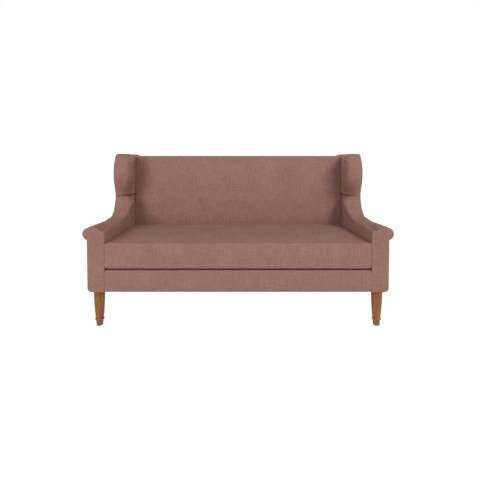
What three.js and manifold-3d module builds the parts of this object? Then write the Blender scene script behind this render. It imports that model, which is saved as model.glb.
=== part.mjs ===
// High back settee: two seats wide, wings, low scroll arms and one loose bench cushion.
// Millimetres, +Z up. The front faces -Y, and left and right are named as seen from in front, right at +X.
// The origin is on the floor under the middle of the settee's box.
import * as THREE from "three";
import { mergeVertices } from "three/addons/utils/BufferGeometryUtils.js";
import Module from "manifold-3d";

const wasm = await Module();
wasm.setup();

// Driving dimensions of the whole settee
const betweenArms = 1460; // inner face of one arm to inner face of the other
const armThickness = 94;
const seatDepth = 560; // front facing to the inside back, at seat height
const backRake = THREE.MathUtils.degToRad(6.7);
const legHeight = 209; // floor to the underside of the front border
const cushionThickness = 140; // at its front edge
const armRise = 85; // crest of the arm above the cushion's front edge
const gap = 0.3; // clearance between pieces that touch
const overrun = 12; // how far a cutting shape runs past what it cuts

// Arm and wing
const rollRadius = 35;
const rollOverhang = 24; // scroll past the outside arm
const sweepStart = 318; // the arm top starts to rise here, from the front
const sweepReach = 125; // and reaches the waist this much further back
const waistRise = 125; // arm top to the crease between arm and wing
const bellyRise = 145; // crease to the foremost point of the wing
const bellyReach = 32; // foremost point of the wing ahead of the waist
const crownRise = 140; // foremost point to the top of the wing
const crownReach = 89; // foremost point back to where the top runs level
const armCrownWidth = 60; // the arm's top slopes down over this width to the inside
const armCrownDrop = 23;
const wingInnerRound = 27;
const wingOuterRound = 22;
const creaseInnerRound = 13;
const creaseOuterRound = 4;
const squareEdge = 0.8;
const padWall = 26; // stuffing over the edge of the wooden frame
const innerWall = 24; // stuffing on the inner face of the arm and wing
const panelThickness = 4.4; // board and cover of the outside arm and wing
const panelInset = 23; // outside wing panel, in from the wing's edge
const facingThickness = 8;
const facingRound = 4;
const facingFootRound = 20;

// Back
const backTopStep = 12; // top of the back below the wings
const backPadDepth = 66;
const backPostWidth = 25;
const backPanelThickness = 5.4;
const backTopRound = 20;
const backPadTop = 18; // stuffing over the top rail
const backCrown = 7; // swell of the inside back
const backRailThickness = 32;
const topRailHeight = 60;
const tackRailHeight = 50;
const tackRailLift = 9; // tack rail above the seat deck
const uprightWidth = 44;
const uprightDepth = 45.7; // also the depth of the rear corner blocks
const webbingWidth = 50;
const webbingThickness = 1.6;
const webbingBands = 3;
const webbingInset = 310; // outermost bands in from the arms

// Seat frame
const railThickness = 32;
const sideRailThickness = 25;
const railHeight = 100;
const armPostStep = 6; // arm post deeper than the front rail
const armRailSetIn = 15; // arm top rail in from the inner face of its post
const armRailHeight = 28;
const wingBoardThickness = 25;
const stretcherWidth = 45;
const stretcherDrop = 25; // top of the centre stretcher below the rails
const blockLength = 95;
const blockWidth = 75;
const blockHeight = 38;
const dustCoverThickness = 2.4;
const borderPad = 11.7; // stuffing on the front rail's face
const borderRise = 18; // top of the border above the front rail
const borderReach = 60; // the border's top, front to back
const borderTopRound = 8;
const borderFootRound = 11;
const borderReturn = 45; // cover turned under the front rail

// Seat suspension
const springCount = 8;
const springInset = 114; // outermost springs in from the arms
const springWire = 4;
const springLoopWidth = 46;
const springLoops = 11;
const clipStripWidth = 16;
const clipStripThickness = 2;
const clipLugWidth = 12;
const clipLugHeight = 4;
const tieWire = 4;
const deckThickness = 10;
const deckRise = 9.7; // top of the deck above the border
const deckClearance = 8; // deck short of the wooden back

// Seat cushion
const cushionSideClearance = 0.5;
const cushionBackClearance = 1.5;
const cushionCrown = 13;
const cushionEdgeRound = 11;
const cushionCornerRadius = 22;
const cushionDrawIn = 4;
const cushionWallSwell = 2.5;

// Legs
const legBoltSetback = 15.7; // front leg's bolt behind the front of its corner block
const legTopRadius = 31;
const legShoulderHeight = 160;
const legShoulderRadius = 29.5;
const legNeckHeight = 47;
const legNeckRadius = 21.5;
const legRingRadius = 25.5;
const legRingTop = 42;
const legRingFoot = 33;
const legRingRound = 3;
const toeTopRadius = 19.5;
const toeFootRadius = 16.5;
const rearLegTop = 50;
const rearLegFoot = 32;
const rearLegEase = 5; // chamfer along its edges
const rearLegRake = 44; // how far the rear foot stands behind the top of its leg
const legPlate = 40;
const legPlateClearance = 1; // leg plate in from the cover's turned edge
const coverNotch = 4; // dust cover cut back round the legs
const legPlateThickness = 2.4;
const boltRadius = 4;
const boltLength = 62;
const boltInLeg = 34;

// Derived places
const frameFoot = legHeight + legPlateThickness + 2 * gap;
const railTop = frameFoot + railHeight;
const borderTop = railTop + borderRise;
const deckTop = borderTop + deckRise;
const cushionFoot = deckTop + gap;
const seatHeight = cushionFoot + cushionThickness;
const armTop = seatHeight + armRise;
const waistHeight = armTop + waistRise;
const waistSetback = sweepStart + sweepReach;
const wingBellyHeight = waistHeight + bellyRise;
const wingSetback = waistSetback - bellyReach;
const wingTop = wingBellyHeight + crownRise;
const crownSetback = wingSetback + crownReach;
const backTop = wingTop - backTopStep;
const innerX = betweenArms / 2;
const outerX = innerX + armThickness;
const panelInnerX = outerX - panelThickness;
const frameOuterX = panelInnerX - gap;
const frameInnerX = innerX + innerWall + gap;
const rollX = outerX + rollOverhang - rollRadius;
const rollZ = armTop - rollRadius;
const railFront = backPadDepth + gap;
const railBack = railFront + backRailThickness;
const frameDepth = railBack + gap + uprightDepth; // rear face of the wooden back
const panelDepth = frameDepth + gap;
const backThickness = panelDepth + backPanelThickness;
const slope = Math.tan(backRake);
const acrossRake = 1 / Math.cos(backRake);
const backDepth = (z, t) => seatDepth + (z - seatHeight) * slope + t * acrossRake;
const overallDepth = backDepth(backTop - panelThickness, backThickness);
const front = -overallDepth / 2;
const behind = (setback) => front + setback;
const backRailTop = backTop - backPadTop - gap;
const wingFrameTop = wingTop - padWall - gap;
const armFrameTop = armTop - padWall - gap;
const rollFoot = rollZ - Math.sqrt(rollRadius ** 2 - (panelInnerX - rollX) ** 2);
const facingBack = facingThickness + gap;
const frontRailStart = borderPad + gap;
const frontRailEnd = frontRailStart + railThickness;
const armPostEnd = frontRailEnd + armPostStep;
const panelFoot = legHeight + facingFootRound;
const footCentreX = outerX - facingFootRound;

// Colours
const rose = { color: 0x98726a, roughness: 0.9, metalness: 0 };
const roseShade = { color: 0x8a655d, roughness: 0.92, metalness: 0 };
const beech = { color: 0xc9a27a, roughness: 0.7, metalness: 0 };
const legWood = { color: 0x9e6e48, roughness: 0.5, metalness: 0 };
const steel = { color: 0x8f9296, roughness: 0.4, metalness: 0.9 };
const felt = { color: 0xb9b0a2, roughness: 1, metalness: 0 };
const cambric = { color: 0x2c2a29, roughness: 1, metalness: 0 };
const webbingCloth = { color: 0x3c3a38, roughness: 0.95, metalness: 0 };

const settee = new THREE.Group();

function addMesh(name, geometry, finish) {
  const mesh = new THREE.Mesh(geometry, new THREE.MeshStandardMaterial(finish));
  mesh.name = name;
  settee.add(mesh);
  return mesh;
}

// One closed surface with shared vertices and its faces pointing out
function welded(geometry) {
  const bare = new THREE.BufferGeometry();
  bare.setAttribute("position", geometry.getAttribute("position"));
  if (geometry.index) bare.setIndex(geometry.index);
  const merged = mergeVertices(bare, 1e-4);
  const at = merged.getAttribute("position");
  const index = Array.from(merged.index.array);
  const kept = [];
  let volume = 0;
  const a = new THREE.Vector3();
  const b = new THREE.Vector3();
  const c = new THREE.Vector3();
  for (let i = 0; i < index.length; i += 3) {
    const [p, q, r] = index.slice(i, i + 3);
    if (p === q || q === r || r === p) continue;
    kept.push(p, q, r);
    a.fromBufferAttribute(at, p);
    b.fromBufferAttribute(at, q);
    c.fromBufferAttribute(at, r);
    volume += a.dot(b.cross(c));
  }
  if (volume < 0) {
    for (let i = 0; i < kept.length; i += 3) {
      [kept[i + 1], kept[i + 2]] = [kept[i + 2], kept[i + 1]];
    }
  }
  merged.setIndex(kept);
  return merged;
}

function solid(geometry) {
  const surface = welded(geometry);
  return new wasm.Manifold(
    new wasm.Mesh({
      numProp: 3,
      vertProperties: surface.getAttribute("position").array,
      triVerts: new Uint32Array(surface.index.array),
    }),
  );
}

function surfaceOf(made) {
  const mesh = made.getMesh();
  const geometry = new THREE.BufferGeometry();
  geometry.setAttribute("position", new THREE.BufferAttribute(mesh.vertProperties, 3));
  geometry.setIndex(new THREE.BufferAttribute(mesh.triVerts, 1));
  geometry.computeVertexNormals();
  return geometry;
}

function mirrored(geometry) {
  return welded(geometry.clone().applyMatrix4(new THREE.Matrix4().makeScale(-1, 1, 1)));
}

// A piece on the +X side and its mirror image on the other side
function addPair(name, geometry, finish) {
  addMesh("left_" + name, mirrored(geometry), finish);
  addMesh("right_" + name, geometry, finish);
}

function block(x0, x1, y0, y1, z0, z1) {
  const box = new THREE.BoxGeometry(x1 - x0, y1 - y0, z1 - z0);
  box.translate((x0 + x1) / 2, (y0 + y1) / 2, (z0 + z1) / 2);
  return box;
}

// A side profile, given as [depth from the front, height], between two places across the settee
function sidePrism(profile, x0, x1) {
  const shape = new THREE.Shape(profile.map(([depth, z]) => new THREE.Vector2(behind(depth), z)));
  const prism = new THREE.ExtrudeGeometry(shape, { depth: x1 - x0, bevelEnabled: false });
  const turn = new THREE.Matrix4().set(0, 0, 1, x0, 1, 0, 0, 0, 0, 1, 0, 0, 0, 0, 0, 1);
  return welded(prism.applyMatrix4(turn));
}

// A slab of the back between two depths behind the inside back's face, cut level at both ends
function rakedSlab(x0, x1, t0, t1, z0, z1) {
  const corners = [
    [backDepth(z0, t0), z0],
    [backDepth(z0, t1), z0],
    [backDepth(z1, t1), z1],
    [backDepth(z1, t0), z1],
  ];
  return sidePrism(corners, x0, x1);
}

function rod(radius, x, y, z0, z1, sides) {
  const bar = new THREE.CylinderGeometry(radius, radius, z1 - z0, sides);
  bar.rotateX(Math.PI / 2);
  bar.translate(x, y, (z0 + z1) / 2);
  return bar;
}

// Rings of equally many points, joined one to the next and closed by a cap at each end
function loft(rings, flatten) {
  const count = rings[0].length;
  const points = rings.flat();
  const index = [];
  for (let r = 0; r + 1 < rings.length; r++) {
    for (let i = 0; i < count; i++) {
      const a = r * count + i;
      const b = r * count + ((i + 1) % count);
      index.push(a, b, b + count, a, b + count, a + count);
    }
  }
  const lastRing = (rings.length - 1) * count;
  for (const [a, b, c] of THREE.ShapeUtils.triangulateShape(rings[0].map(flatten), [])) {
    index.push(a, c, b);
  }
  for (const [a, b, c] of THREE.ShapeUtils.triangulateShape(rings.at(-1).map(flatten), [])) {
    index.push(lastRing + a, lastRing + b, lastRing + c);
  }
  const geometry = new THREE.BufferGeometry().setFromPoints(points);
  geometry.setIndex(index);
  return welded(geometry);
}

// An outline moved inwards, each edge by its own distance. The outline runs anticlockwise.
function insetOutline(outline, distances) {
  const count = outline.length;
  const edgeNormal = (i) => {
    const [u0, v0] = outline[i];
    const [u1, v1] = outline[(i + 1) % count];
    const length = Math.hypot(u1 - u0, v1 - v0);
    return [(v0 - v1) / length, (u1 - u0) / length];
  };
  return outline.map(([u, v], i) => {
    const before = (i + count - 1) % count;
    const [au, av] = edgeNormal(before);
    const [bu, bv] = edgeNormal(i);
    const da = distances[before];
    const db = distances[i];
    const cross = au * bv - av * bu;
    if (Math.abs(cross) > 0.45) {
      return [u + (da * bv - db * av) / cross, v + (au * db - bu * da) / cross];
    }
    const share = (da + db) / 2 / (1 + au * bu + av * bv);
    return [u + (au + bu) * share, v + (av + bv) * share];
  });
}

// How far an edge that is rounded over reach and drop lies inwards at a distance from the face
function roundedDrop(distance, reach, drop) {
  const share = 1 - Math.min(1, distance / reach);
  return drop * (1 - Math.sqrt(1 - share ** 2));
}

// The front and top edge of arm and wing in side view, as [depth, height], from the arm's front
function curve(start, firstHandle, lastHandle, end, steps) {
  const vectors = [start, firstHandle, lastHandle, end].map(([u, v]) => new THREE.Vector2(u, v));
  return new THREE.CubicBezierCurve(...vectors).getPoints(steps).map((p) => [p.x, p.y]);
}

const sweep = curve(
  [sweepStart, armTop],
  [sweepStart + sweepReach * 0.56, armTop],
  [waistSetback, waistHeight - waistRise * 0.52],
  [waistSetback, waistHeight],
  9,
);
const belly = curve(
  [waistSetback, waistHeight],
  [waistSetback, waistHeight + bellyRise * 0.35],
  [wingSetback, wingBellyHeight - bellyRise * 0.35],
  [wingSetback, wingBellyHeight],
  6,
);
const crown = curve(
  [wingSetback, wingBellyHeight],
  [wingSetback, wingBellyHeight + crownRise * 0.54],
  [crownSetback - crownReach * 0.56, wingTop],
  [crownSetback, wingTop],
  8,
);
const rear = (z) => backDepth(z, frameDepth);

// Soft slab of an arm or a wing, standing between the inner face and the outside
function softSlab(profile, edges, stations) {
  const rings = stations.map((x) => {
    const drops = edges.map((edge) => {
      const inner = roundedDrop(x - innerX, edge.innerReach, edge.innerDrop);
      const outer = roundedDrop(outerX - x, edge.outerReach, edge.outerDrop);
      return Math.max(inner, outer);
    });
    return insetOutline(profile, drops).map(([d, z]) => new THREE.Vector3(x, behind(d), z));
  });
  return loft(rings, (p) => new THREE.Vector2(p.y, p.z));
}

const squareRim = { innerReach: squareEdge, innerDrop: 0, outerReach: squareEdge, outerDrop: 0 };
const creaseRim = {
  innerReach: creaseInnerRound,
  innerDrop: creaseInnerRound * 0.8,
  outerReach: creaseOuterRound,
  outerDrop: creaseOuterRound,
};
const wingRim = {
  innerReach: wingInnerRound,
  innerDrop: wingInnerRound,
  outerReach: wingOuterRound,
  outerDrop: wingOuterRound,
};
// The rounding of the arm's top passes into the wing's as the edge rises
function sweepRim(z) {
  const rise = THREE.MathUtils.smoothstep(z, armTop, waistHeight - waistRise * 0.3);
  return {
    innerReach: THREE.MathUtils.lerp(armCrownWidth, wingInnerRound, rise),
    innerDrop: THREE.MathUtils.lerp(armCrownDrop, wingInnerRound, rise),
    outerReach: wingOuterRound,
    outerDrop: wingOuterRound,
  };
}

const innerStationShares = [0, 0.035, 0.13, 0.3, 0.58, 1];
const outerStationShares = [1, 0.45, 0.12, 0];
const armStations = [
  ...innerStationShares.map((share) => innerX + share * armCrownWidth),
  ...outerStationShares.map((share) => outerX - share * wingOuterRound),
];
const wingStations = [
  ...innerStationShares.map((share) => innerX + share * wingInnerRound),
  ...outerStationShares.map((share) => outerX - share * wingOuterRound),
];

const padFoot = railTop + gap;
const creaseLow = waistHeight - gap / 2;
const creaseHigh = waistHeight + gap / 2;
const armFront = facingBack;

// Anticlockwise side outlines of the arm below the crease and of the wing above it
const armLine = [...sweep].reverse();
const wingLine = [...belly, ...crown.slice(1)].reverse();
const armEdges = [
  { from: [armFront, padFoot], rim: squareRim },
  { from: [rear(padFoot), padFoot], rim: squareRim },
  { from: [rear(creaseLow), creaseLow], rim: creaseRim },
  { from: [waistSetback, creaseLow], rim: sweepRim(waistHeight) },
  ...armLine.slice(1).map(([d, z]) => ({ from: [d, z], rim: sweepRim(z) })),
  { from: [armFront, armTop], rim: squareRim },
];
const wingEdges = [
  { from: [waistSetback, creaseHigh], rim: creaseRim },
  { from: [rear(creaseHigh), creaseHigh], rim: squareRim },
  { from: [rear(wingTop), wingTop], rim: wingRim },
  ...wingLine.slice(0, -1).map((from) => ({ from, rim: wingRim })),
];

function softPiece(edges, stations) {
  const profile = edges.map((edge) => edge.from);
  const rims = edges.map((edge) => edge.rim);
  return solid(softSlab(profile, rims, stations));
}

// Spaces cut into the pads: an edge line moved in by a distance, running out past foot and rear
const farRear = rear(wingTop) + overrun;
const farFront = armFront - overrun;

function armSpace(distance, foot, x0, x1) {
  const line = [[waistSetback, waistHeight + overrun], ...armLine, [farFront, armTop]];
  const outline = [...line, [farFront, foot], [farRear, foot], [farRear, waistHeight + overrun]];
  const moved = insetOutline(outline, [...line.slice(1).map(() => distance), 0, 0, 0, 0]);
  return solid(sidePrism(moved, x0, x1));
}

function wingSpace(distance, x0, x1) {
  const line = [[farRear, wingTop], ...wingLine, [waistSetback, waistHeight - overrun]];
  const outline = [...line, [farRear, waistHeight - overrun]];
  const moved = insetOutline(outline, [...line.slice(1).map(() => distance), 0, 0]);
  return solid(sidePrism(moved, x0, x1));
}

const padInnerX = innerX + innerWall;
const pocketX = panelInnerX - gap;
const padRear = backPadDepth - webbingThickness - 2 * gap;
const railSpace = solid(
  rakedSlab(innerX - overrun, panelInnerX, padRear, backThickness + overrun, padFoot - overrun, backRailTop + gap),
);
const rearTrim = solid(
  rakedSlab(innerX, rollX + rollRadius + overrun, frameDepth, backThickness + overrun, rollZ - 2 * rollRadius, armTop + overrun),
);

// Arm padding with its scroll, open on the outside, at the back and at the front
const rollLength = backDepth(armTop, frameDepth) - armFront;
const rollShape = new THREE.CylinderGeometry(rollRadius, rollRadius, rollLength, 28);
rollShape.translate(rollX, behind(armFront) + rollLength / 2, rollZ);
const belowRoll = solid(
  block(padInnerX, outerX + overrun, behind(farFront), behind(farRear), padFoot - overrun, rollFoot),
);
const aboveArm = solid(
  block(innerX, outerX + overrun, behind(farFront), behind(farRear), armTop + gap, wingTop),
);
const armPocket = armSpace(panelInset, rollZ, pocketX, outerX + overrun).intersect(aboveArm);
const armPad = softPiece(armEdges, armStations)
  .add(solid(rollShape))
  .subtract(belowRoll)
  .subtract(armSpace(padWall, padFoot - overrun, padInnerX, panelInnerX))
  .subtract(armPocket)
  .subtract(railSpace)
  .subtract(rearTrim);
addPair("arm_padding", surfaceOf(armPad), rose);

// Wing padding, open on the outside, at the back and at the crease
const wingPocket = wingSpace(panelInset, pocketX, outerX + overrun);
const wingPad = softPiece(wingEdges, wingStations)
  .subtract(wingSpace(padWall, padInnerX, panelInnerX))
  .subtract(wingPocket)
  .subtract(railSpace);
addPair("wing_padding", surfaceOf(wingPad), rose);

// Outside wing panel, standing on the arm's roll inside the rim of the padding
const panelLine = [[rear(wingTop), wingTop], ...wingLine, ...armLine.slice(1)];
const panelOutline = insetOutline(
  [...panelLine, [farFront, armTop], [farFront, rollZ], [rear(rollZ), rollZ]],
  [...panelLine.map(() => panelInset + gap), 0, 0, 0],
);
const abovePanelFoot = solid(
  block(innerX, outerX + overrun, behind(farFront), behind(farRear), armTop + 2 * gap, wingTop),
);
const wingPanel = solid(sidePrism(panelOutline, panelInnerX, outerX)).intersect(abovePanelFoot);
addPair("outside_wing_panel", surfaceOf(wingPanel), roseShade);

// Outside arm panel, turned under the side rail
const panelTop = rollFoot - gap;
const armPanelShape = new THREE.Shape();
armPanelShape.moveTo(outerX, panelTop);
armPanelShape.lineTo(outerX, panelFoot);
armPanelShape.absarc(footCentreX, panelFoot, facingFootRound, 0, -Math.PI / 2, true);
armPanelShape.lineTo(footCentreX, legHeight + panelThickness);
armPanelShape.absarc(footCentreX, panelFoot, facingFootRound - panelThickness, -Math.PI / 2, 0, false);
armPanelShape.lineTo(panelInnerX, panelTop);

// A front view outline carried back from one depth to another, leaning with the back if asked
function frontPrism(shape, depth0, depth1, lean, curveSegments) {
  const length = depth1 - depth0;
  const prism = new THREE.ExtrudeGeometry(shape, { depth: length, bevelEnabled: false, curveSegments });
  const y0 = behind(depth0) - lean * seatHeight;
  return welded(prism.applyMatrix4(new THREE.Matrix4().set(1, 0, 0, 0, 0, lean, 1, y0, 0, 1, 0, 0, 0, 0, 0, 1)));
}

const sideTrim = solid(
  rakedSlab(innerX, outerX + overrun, frameDepth, frameDepth + armThickness, legHeight - overrun, armTop),
);
const armPanel = solid(frontPrism(armPanelShape, armFront, rear(armTop), 0, 6)).subtract(sideTrim);
addPair("outside_arm_panel", surfaceOf(armPanel), roseShade);

// Front facing of the arm, with the scroll outline and a softened front edge
const scrollStart = -Math.acos((outerX - rollX) / rollRadius);
const scrollSteps = 14;
const footSteps = 4;
const crownSteps = 6;
const facingOutline = [[innerX, legHeight]];
for (let i = 0; i <= footSteps; i++) {
  const angle = (Math.PI / 2) * (i / footSteps - 1);
  facingOutline.push([
    footCentreX + facingFootRound * Math.cos(angle),
    panelFoot + facingFootRound * Math.sin(angle),
  ]);
}
for (let i = 0; i <= scrollSteps; i++) {
  const angle = THREE.MathUtils.lerp(scrollStart, Math.PI / 2, i / scrollSteps);
  facingOutline.push([rollX + rollRadius * Math.cos(angle), rollZ + rollRadius * Math.sin(angle)]);
}
for (let i = 0; i <= crownSteps; i++) {
  const reach = armCrownWidth * (1 - i / crownSteps);
  facingOutline.push([innerX + reach, armTop - roundedDrop(reach, armCrownWidth, armCrownDrop)]);
}
const facingStationShares = [0, 0.12, 0.4, 1];
const facingRings = [...facingStationShares.map((share) => share * facingRound), facingThickness].map((depth) => {
  const drop = roundedDrop(depth, facingRound, facingRound);
  const ring = insetOutline(facingOutline, facingOutline.map(() => drop));
  return ring.map(([x, z]) => new THREE.Vector3(x, behind(depth), z));
});
addPair("arm_facing", loft(facingRings, (p) => new THREE.Vector2(p.x, p.z)), rose);

// Wooden frame of arm and wing, eased along the foot for the turned-under cover
const easeCylinder = new THREE.CylinderGeometry(
  facingFootRound - panelThickness - gap,
  facingFootRound - panelThickness - gap,
  overallDepth + overrun,
  24,
);
easeCylinder.translate(footCentreX, 0, panelFoot);
const easeBlock = block(footCentreX, outerX, -overallDepth / 2, overallDepth / 2, legHeight, panelFoot);
const footEase = solid(easeBlock).subtract(solid(easeCylinder));

const postTop = armFrameTop - armRailHeight - gap;
const armPost = block(frameInnerX, frameOuterX, behind(armFront), behind(armPostEnd), frameFoot, postTop);
addPair("front_arm_post", surfaceOf(solid(armPost).subtract(footEase)), beech);

// A rail that runs back from a depth and ends on the raked front face of the back's frame
function railToBack(start, z0, z1, x0, x1) {
  const end = (z) => backDepth(z, backPadDepth);
  return sidePrism([[start, z0], [end(z0), z0], [end(z1), z1], [start, z1]], x0, x1);
}

const sideRailX = frameOuterX - sideRailThickness;
const sideRail = railToBack(armPostEnd + gap, frameFoot, railTop, sideRailX, frameOuterX);
addPair("side_seat_rail", surfaceOf(solid(sideRail).subtract(footEase)), beech);
const armRailFoot = armFrameTop - armRailHeight;
const armRailX = frameInnerX + armRailSetIn;
addPair("arm_top_rail", railToBack(armFront, armRailFoot, armFrameTop, armRailX, frameOuterX), beech);

const boardLine = [...wingLine, ...armLine.slice(1)];
const boardRear = (z) => [backDepth(z, backPadDepth), z];
const boardOutline = insetOutline(
  [boardRear(rollZ - rollRadius), boardRear(wingTop), ...boardLine, [farFront, armTop], [farFront, rollZ - rollRadius]],
  [0, ...boardLine.map(() => padWall + gap), padWall + gap, 0, 0],
);
const boardToe = sweepStart + sweepReach * 0.36; // blunt front end of the wing board
const aboveArmRail = solid(
  block(innerX, outerX, behind(boardToe), behind(farRear), armFrameTop + gap, wingTop),
);
const wingBoard = solid(sidePrism(boardOutline, frameOuterX - wingBoardThickness, frameOuterX));
addPair("wing_board", surfaceOf(wingBoard.intersect(aboveArmRail)), beech);

const backPostX = frameOuterX - backPostWidth;
const backPost = rakedSlab(backPostX, frameOuterX, backPadDepth + gap, frameDepth, frameFoot, wingFrameTop);
addPair("back_post", surfaceOf(solid(backPost).subtract(footEase)), beech);

// Place of one of several equal pieces spread across the space between the arms
function spreadBetweenArms(i, count, inset) {
  return (2 * i / (count - 1) - 1) * (innerX - inset);
}

// Wooden back between the posts
const betweenPosts = backPostX - gap;
addMesh(
  "back_top_rail",
  rakedSlab(-betweenPosts, betweenPosts, railFront, railBack, backRailTop - topRailHeight, backRailTop),
  beech,
);
const tackRailFoot = deckTop + tackRailLift;
addMesh(
  "back_tack_rail",
  rakedSlab(-betweenPosts, betweenPosts, railFront, railBack, tackRailFoot, tackRailFoot + tackRailHeight),
  beech,
);
addMesh(
  "back_seat_rail",
  rakedSlab(-betweenPosts, betweenPosts, railFront, railBack, frameFoot, railTop),
  beech,
);
addMesh(
  "back_centre_upright",
  rakedSlab(-uprightWidth / 2, uprightWidth / 2, railBack + gap, frameDepth, frameFoot, backRailTop),
  beech,
);
for (let i = 0; i < webbingBands; i++) {
  const x = spreadBetweenArms(i, webbingBands, webbingInset);
  const [low, high] = [tackRailFoot, backRailTop];
  const [near, far] = [padRear + gap, padRear + gap + webbingThickness];
  addMesh(
    "back_webbing_" + (i + 1),
    rakedSlab(x - webbingWidth / 2, x + webbingWidth / 2, near, far, low, high),
    webbingCloth,
  );
}

// Inside back: a crowned pad that turns over the top rail to the outside back
const backFoot = deckTop + gap;
const backRise = backTop - backTopRound - seatHeight;
const crownShares = [0, 0.12, 0.28, 0.45, 0.62, 0.8, 1];
const backProfile = [[backDepth(backFoot, 0), backFoot]];
for (const share of crownShares) {
  const z = seatHeight + share * backRise;
  backProfile.push([backDepth(z, -backCrown * Math.sin(Math.PI * share)), z]);
}
const backRoundSteps = 5;
for (let i = 1; i <= backRoundSteps; i++) {
  const angle = (Math.PI / 2) * (i / backRoundSteps);
  const z = backTop - backTopRound * (1 - Math.sin(angle));
  backProfile.push([backDepth(z, backTopRound * (1 - Math.cos(angle))), z]);
}
const underTop = backTop - backPadTop;
backProfile.push(
  [backDepth(backTop, frameDepth), backTop],
  [backDepth(underTop, frameDepth), underTop],
  [backDepth(underTop, padRear), underTop],
  [backDepth(backFoot, padRear), backFoot],
);
const insideX = innerX - gap;
addMesh("inside_back", sidePrism(backProfile, -insideX, insideX), rose);

// Outside back: a flat board and cover, round cornered, leaning with the frame
const outsideTop = backTop - panelThickness;
const outsideX = outerX - gap;
const outsideShape = new THREE.Shape();
outsideShape.moveTo(-outsideX + facingFootRound, legHeight);
outsideShape.lineTo(outsideX - facingFootRound, legHeight);
outsideShape.absarc(outsideX - facingFootRound, panelFoot, facingFootRound, -Math.PI / 2, 0, false);
outsideShape.absarc(outsideX - wingOuterRound, outsideTop - wingOuterRound, wingOuterRound, 0, Math.PI / 2, false);
outsideShape.absarc(-outsideX + wingOuterRound, outsideTop - wingOuterRound, wingOuterRound, Math.PI / 2, Math.PI, false);
outsideShape.absarc(-outsideX + facingFootRound, panelFoot, facingFootRound, Math.PI, Math.PI * 1.5, false);
const outsideStart = seatDepth + panelDepth * acrossRake;
const outsideEnd = seatDepth + backThickness * acrossRake;
addMesh("outside_back", frontPrism(outsideShape, outsideStart, outsideEnd, slope, 6), roseShade);

// Seat frame
const frontRailX = frameInnerX - gap;
addMesh(
  "front_seat_rail",
  block(-frontRailX, frontRailX, behind(frontRailStart), behind(frontRailEnd), frameFoot, railTop),
  beech,
);
addMesh(
  "centre_stretcher",
  railToBack(frontRailEnd + gap, frameFoot, railTop - stretcherDrop, -stretcherWidth / 2, stretcherWidth / 2),
  beech,
);

// Legs, each bolted up through its plate into a corner block
const legX = footCentreX - legPlateClearance - legPlate / 2;
const boltSides = 12;
const frontBlockStart = armPostEnd + gap;
const rearBlockStart = backDepth(frameFoot + blockHeight, railBack) + gap;
const rearBlockEnd = backDepth(frameFoot, frameDepth);
const legSetback = frontBlockStart + legBoltSetback;
const rearLegSetback = rearBlockEnd - legPlateClearance - legPlate / 2;
const plateFoot = legHeight + gap;

const legProfile = [
  [0, 0],
  [toeFootRadius - legRingRound / 2, 0],
  [toeFootRadius, legRingRound / 2],
  [toeTopRadius, legRingFoot],
  [legRingRadius - legRingRound, legRingFoot],
  [legRingRadius, legRingFoot + legRingRound],
  [legRingRadius, legRingTop - legRingRound],
  [legRingRadius - legRingRound, legRingTop],
  [legNeckRadius, legRingTop],
  [legNeckRadius, legNeckHeight],
  [THREE.MathUtils.lerp(legNeckRadius, legShoulderRadius, 0.62), legNeckHeight + (legShoulderHeight - legNeckHeight) * 0.5],
  [legShoulderRadius, legShoulderHeight],
  [legTopRadius, legHeight],
  [0, legHeight],
];

function turnedLeg() {
  const leg = new THREE.LatheGeometry(legProfile.map(([r, z]) => new THREE.Vector2(r, z)), 24);
  leg.rotateX(Math.PI / 2);
  return leg.translate(legX, behind(legSetback), 0);
}

function rakedLeg() {
  const ring = (side, z, depth) => {
    const half = side / 2;
    const inner = half - rearLegEase;
    const corners = [
      [inner, -half], [half, -inner], [half, inner], [inner, half],
      [-inner, half], [-half, inner], [-half, -inner], [-inner, -half],
    ];
    return corners.map(([x, y]) => new THREE.Vector3(legX + x, behind(depth) + y, z));
  };
  const rings = [
    ring(rearLegFoot, 0, rearLegSetback + rearLegRake),
    ring(rearLegTop, legHeight, rearLegSetback),
  ];
  return loft(rings, (p) => new THREE.Vector2(p.x, p.y));
}

const boltFoot = legHeight - boltInLeg;
function boltHole(depth) {
  return solid(rod(boltRadius + gap, legX, behind(depth), boltFoot - gap, boltFoot + boltLength + gap, boltSides));
}

function legFixing(depth) {
  const half = legPlate / 2;
  const y = behind(depth);
  const plate = block(legX - half, legX + half, y - half, y + half, plateFoot, plateFoot + legPlateThickness);
  const bolt = rod(boltRadius, legX, y, boltFoot, boltFoot + boltLength, boltSides);
  return surfaceOf(solid(plate).add(solid(bolt)));
}

function cornerBlock(outer, start, end, depth) {
  const body = block(outer - blockWidth, outer, behind(start), behind(end), frameFoot, frameFoot + blockHeight);
  return surfaceOf(solid(body).subtract(boltHole(depth)));
}

function addLegSet(place, leg, depth, blockOuter, blockStart, blockEnd) {
  addPair(place + "_leg", surfaceOf(solid(leg).subtract(boltHole(depth))), legWood);
  addPair(place + "_leg_bolt_plate", legFixing(depth), steel);
  addPair(place + "_corner_block", cornerBlock(blockOuter, blockStart, blockEnd, depth), beech);
}
const frontBlockEnd = frontBlockStart + blockLength;
addLegSet("front", turnedLeg(), legSetback, sideRailX - gap, frontBlockStart, frontBlockEnd);
addLegSet("rear", rakedLeg(), rearLegSetback, backPostX - gap, rearBlockStart, rearBlockEnd);

// Zigzag springs from rail to rail, their clips, and the tie wire under them
const stripFoot = railTop + gap;
const springBase = stripFoot + clipStripThickness + gap + springWire / 2;
const springCrown = deckTop - deckThickness - gap - springWire / 2 - springBase;
const springStart = frontRailStart + railThickness / 2;
const springEnd = backDepth(railTop, (railFront + railBack) / 2);
const springSpan = springEnd - springStart;
const springHeight = (share) => springBase + springCrown * Math.sin(Math.PI * share);

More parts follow.
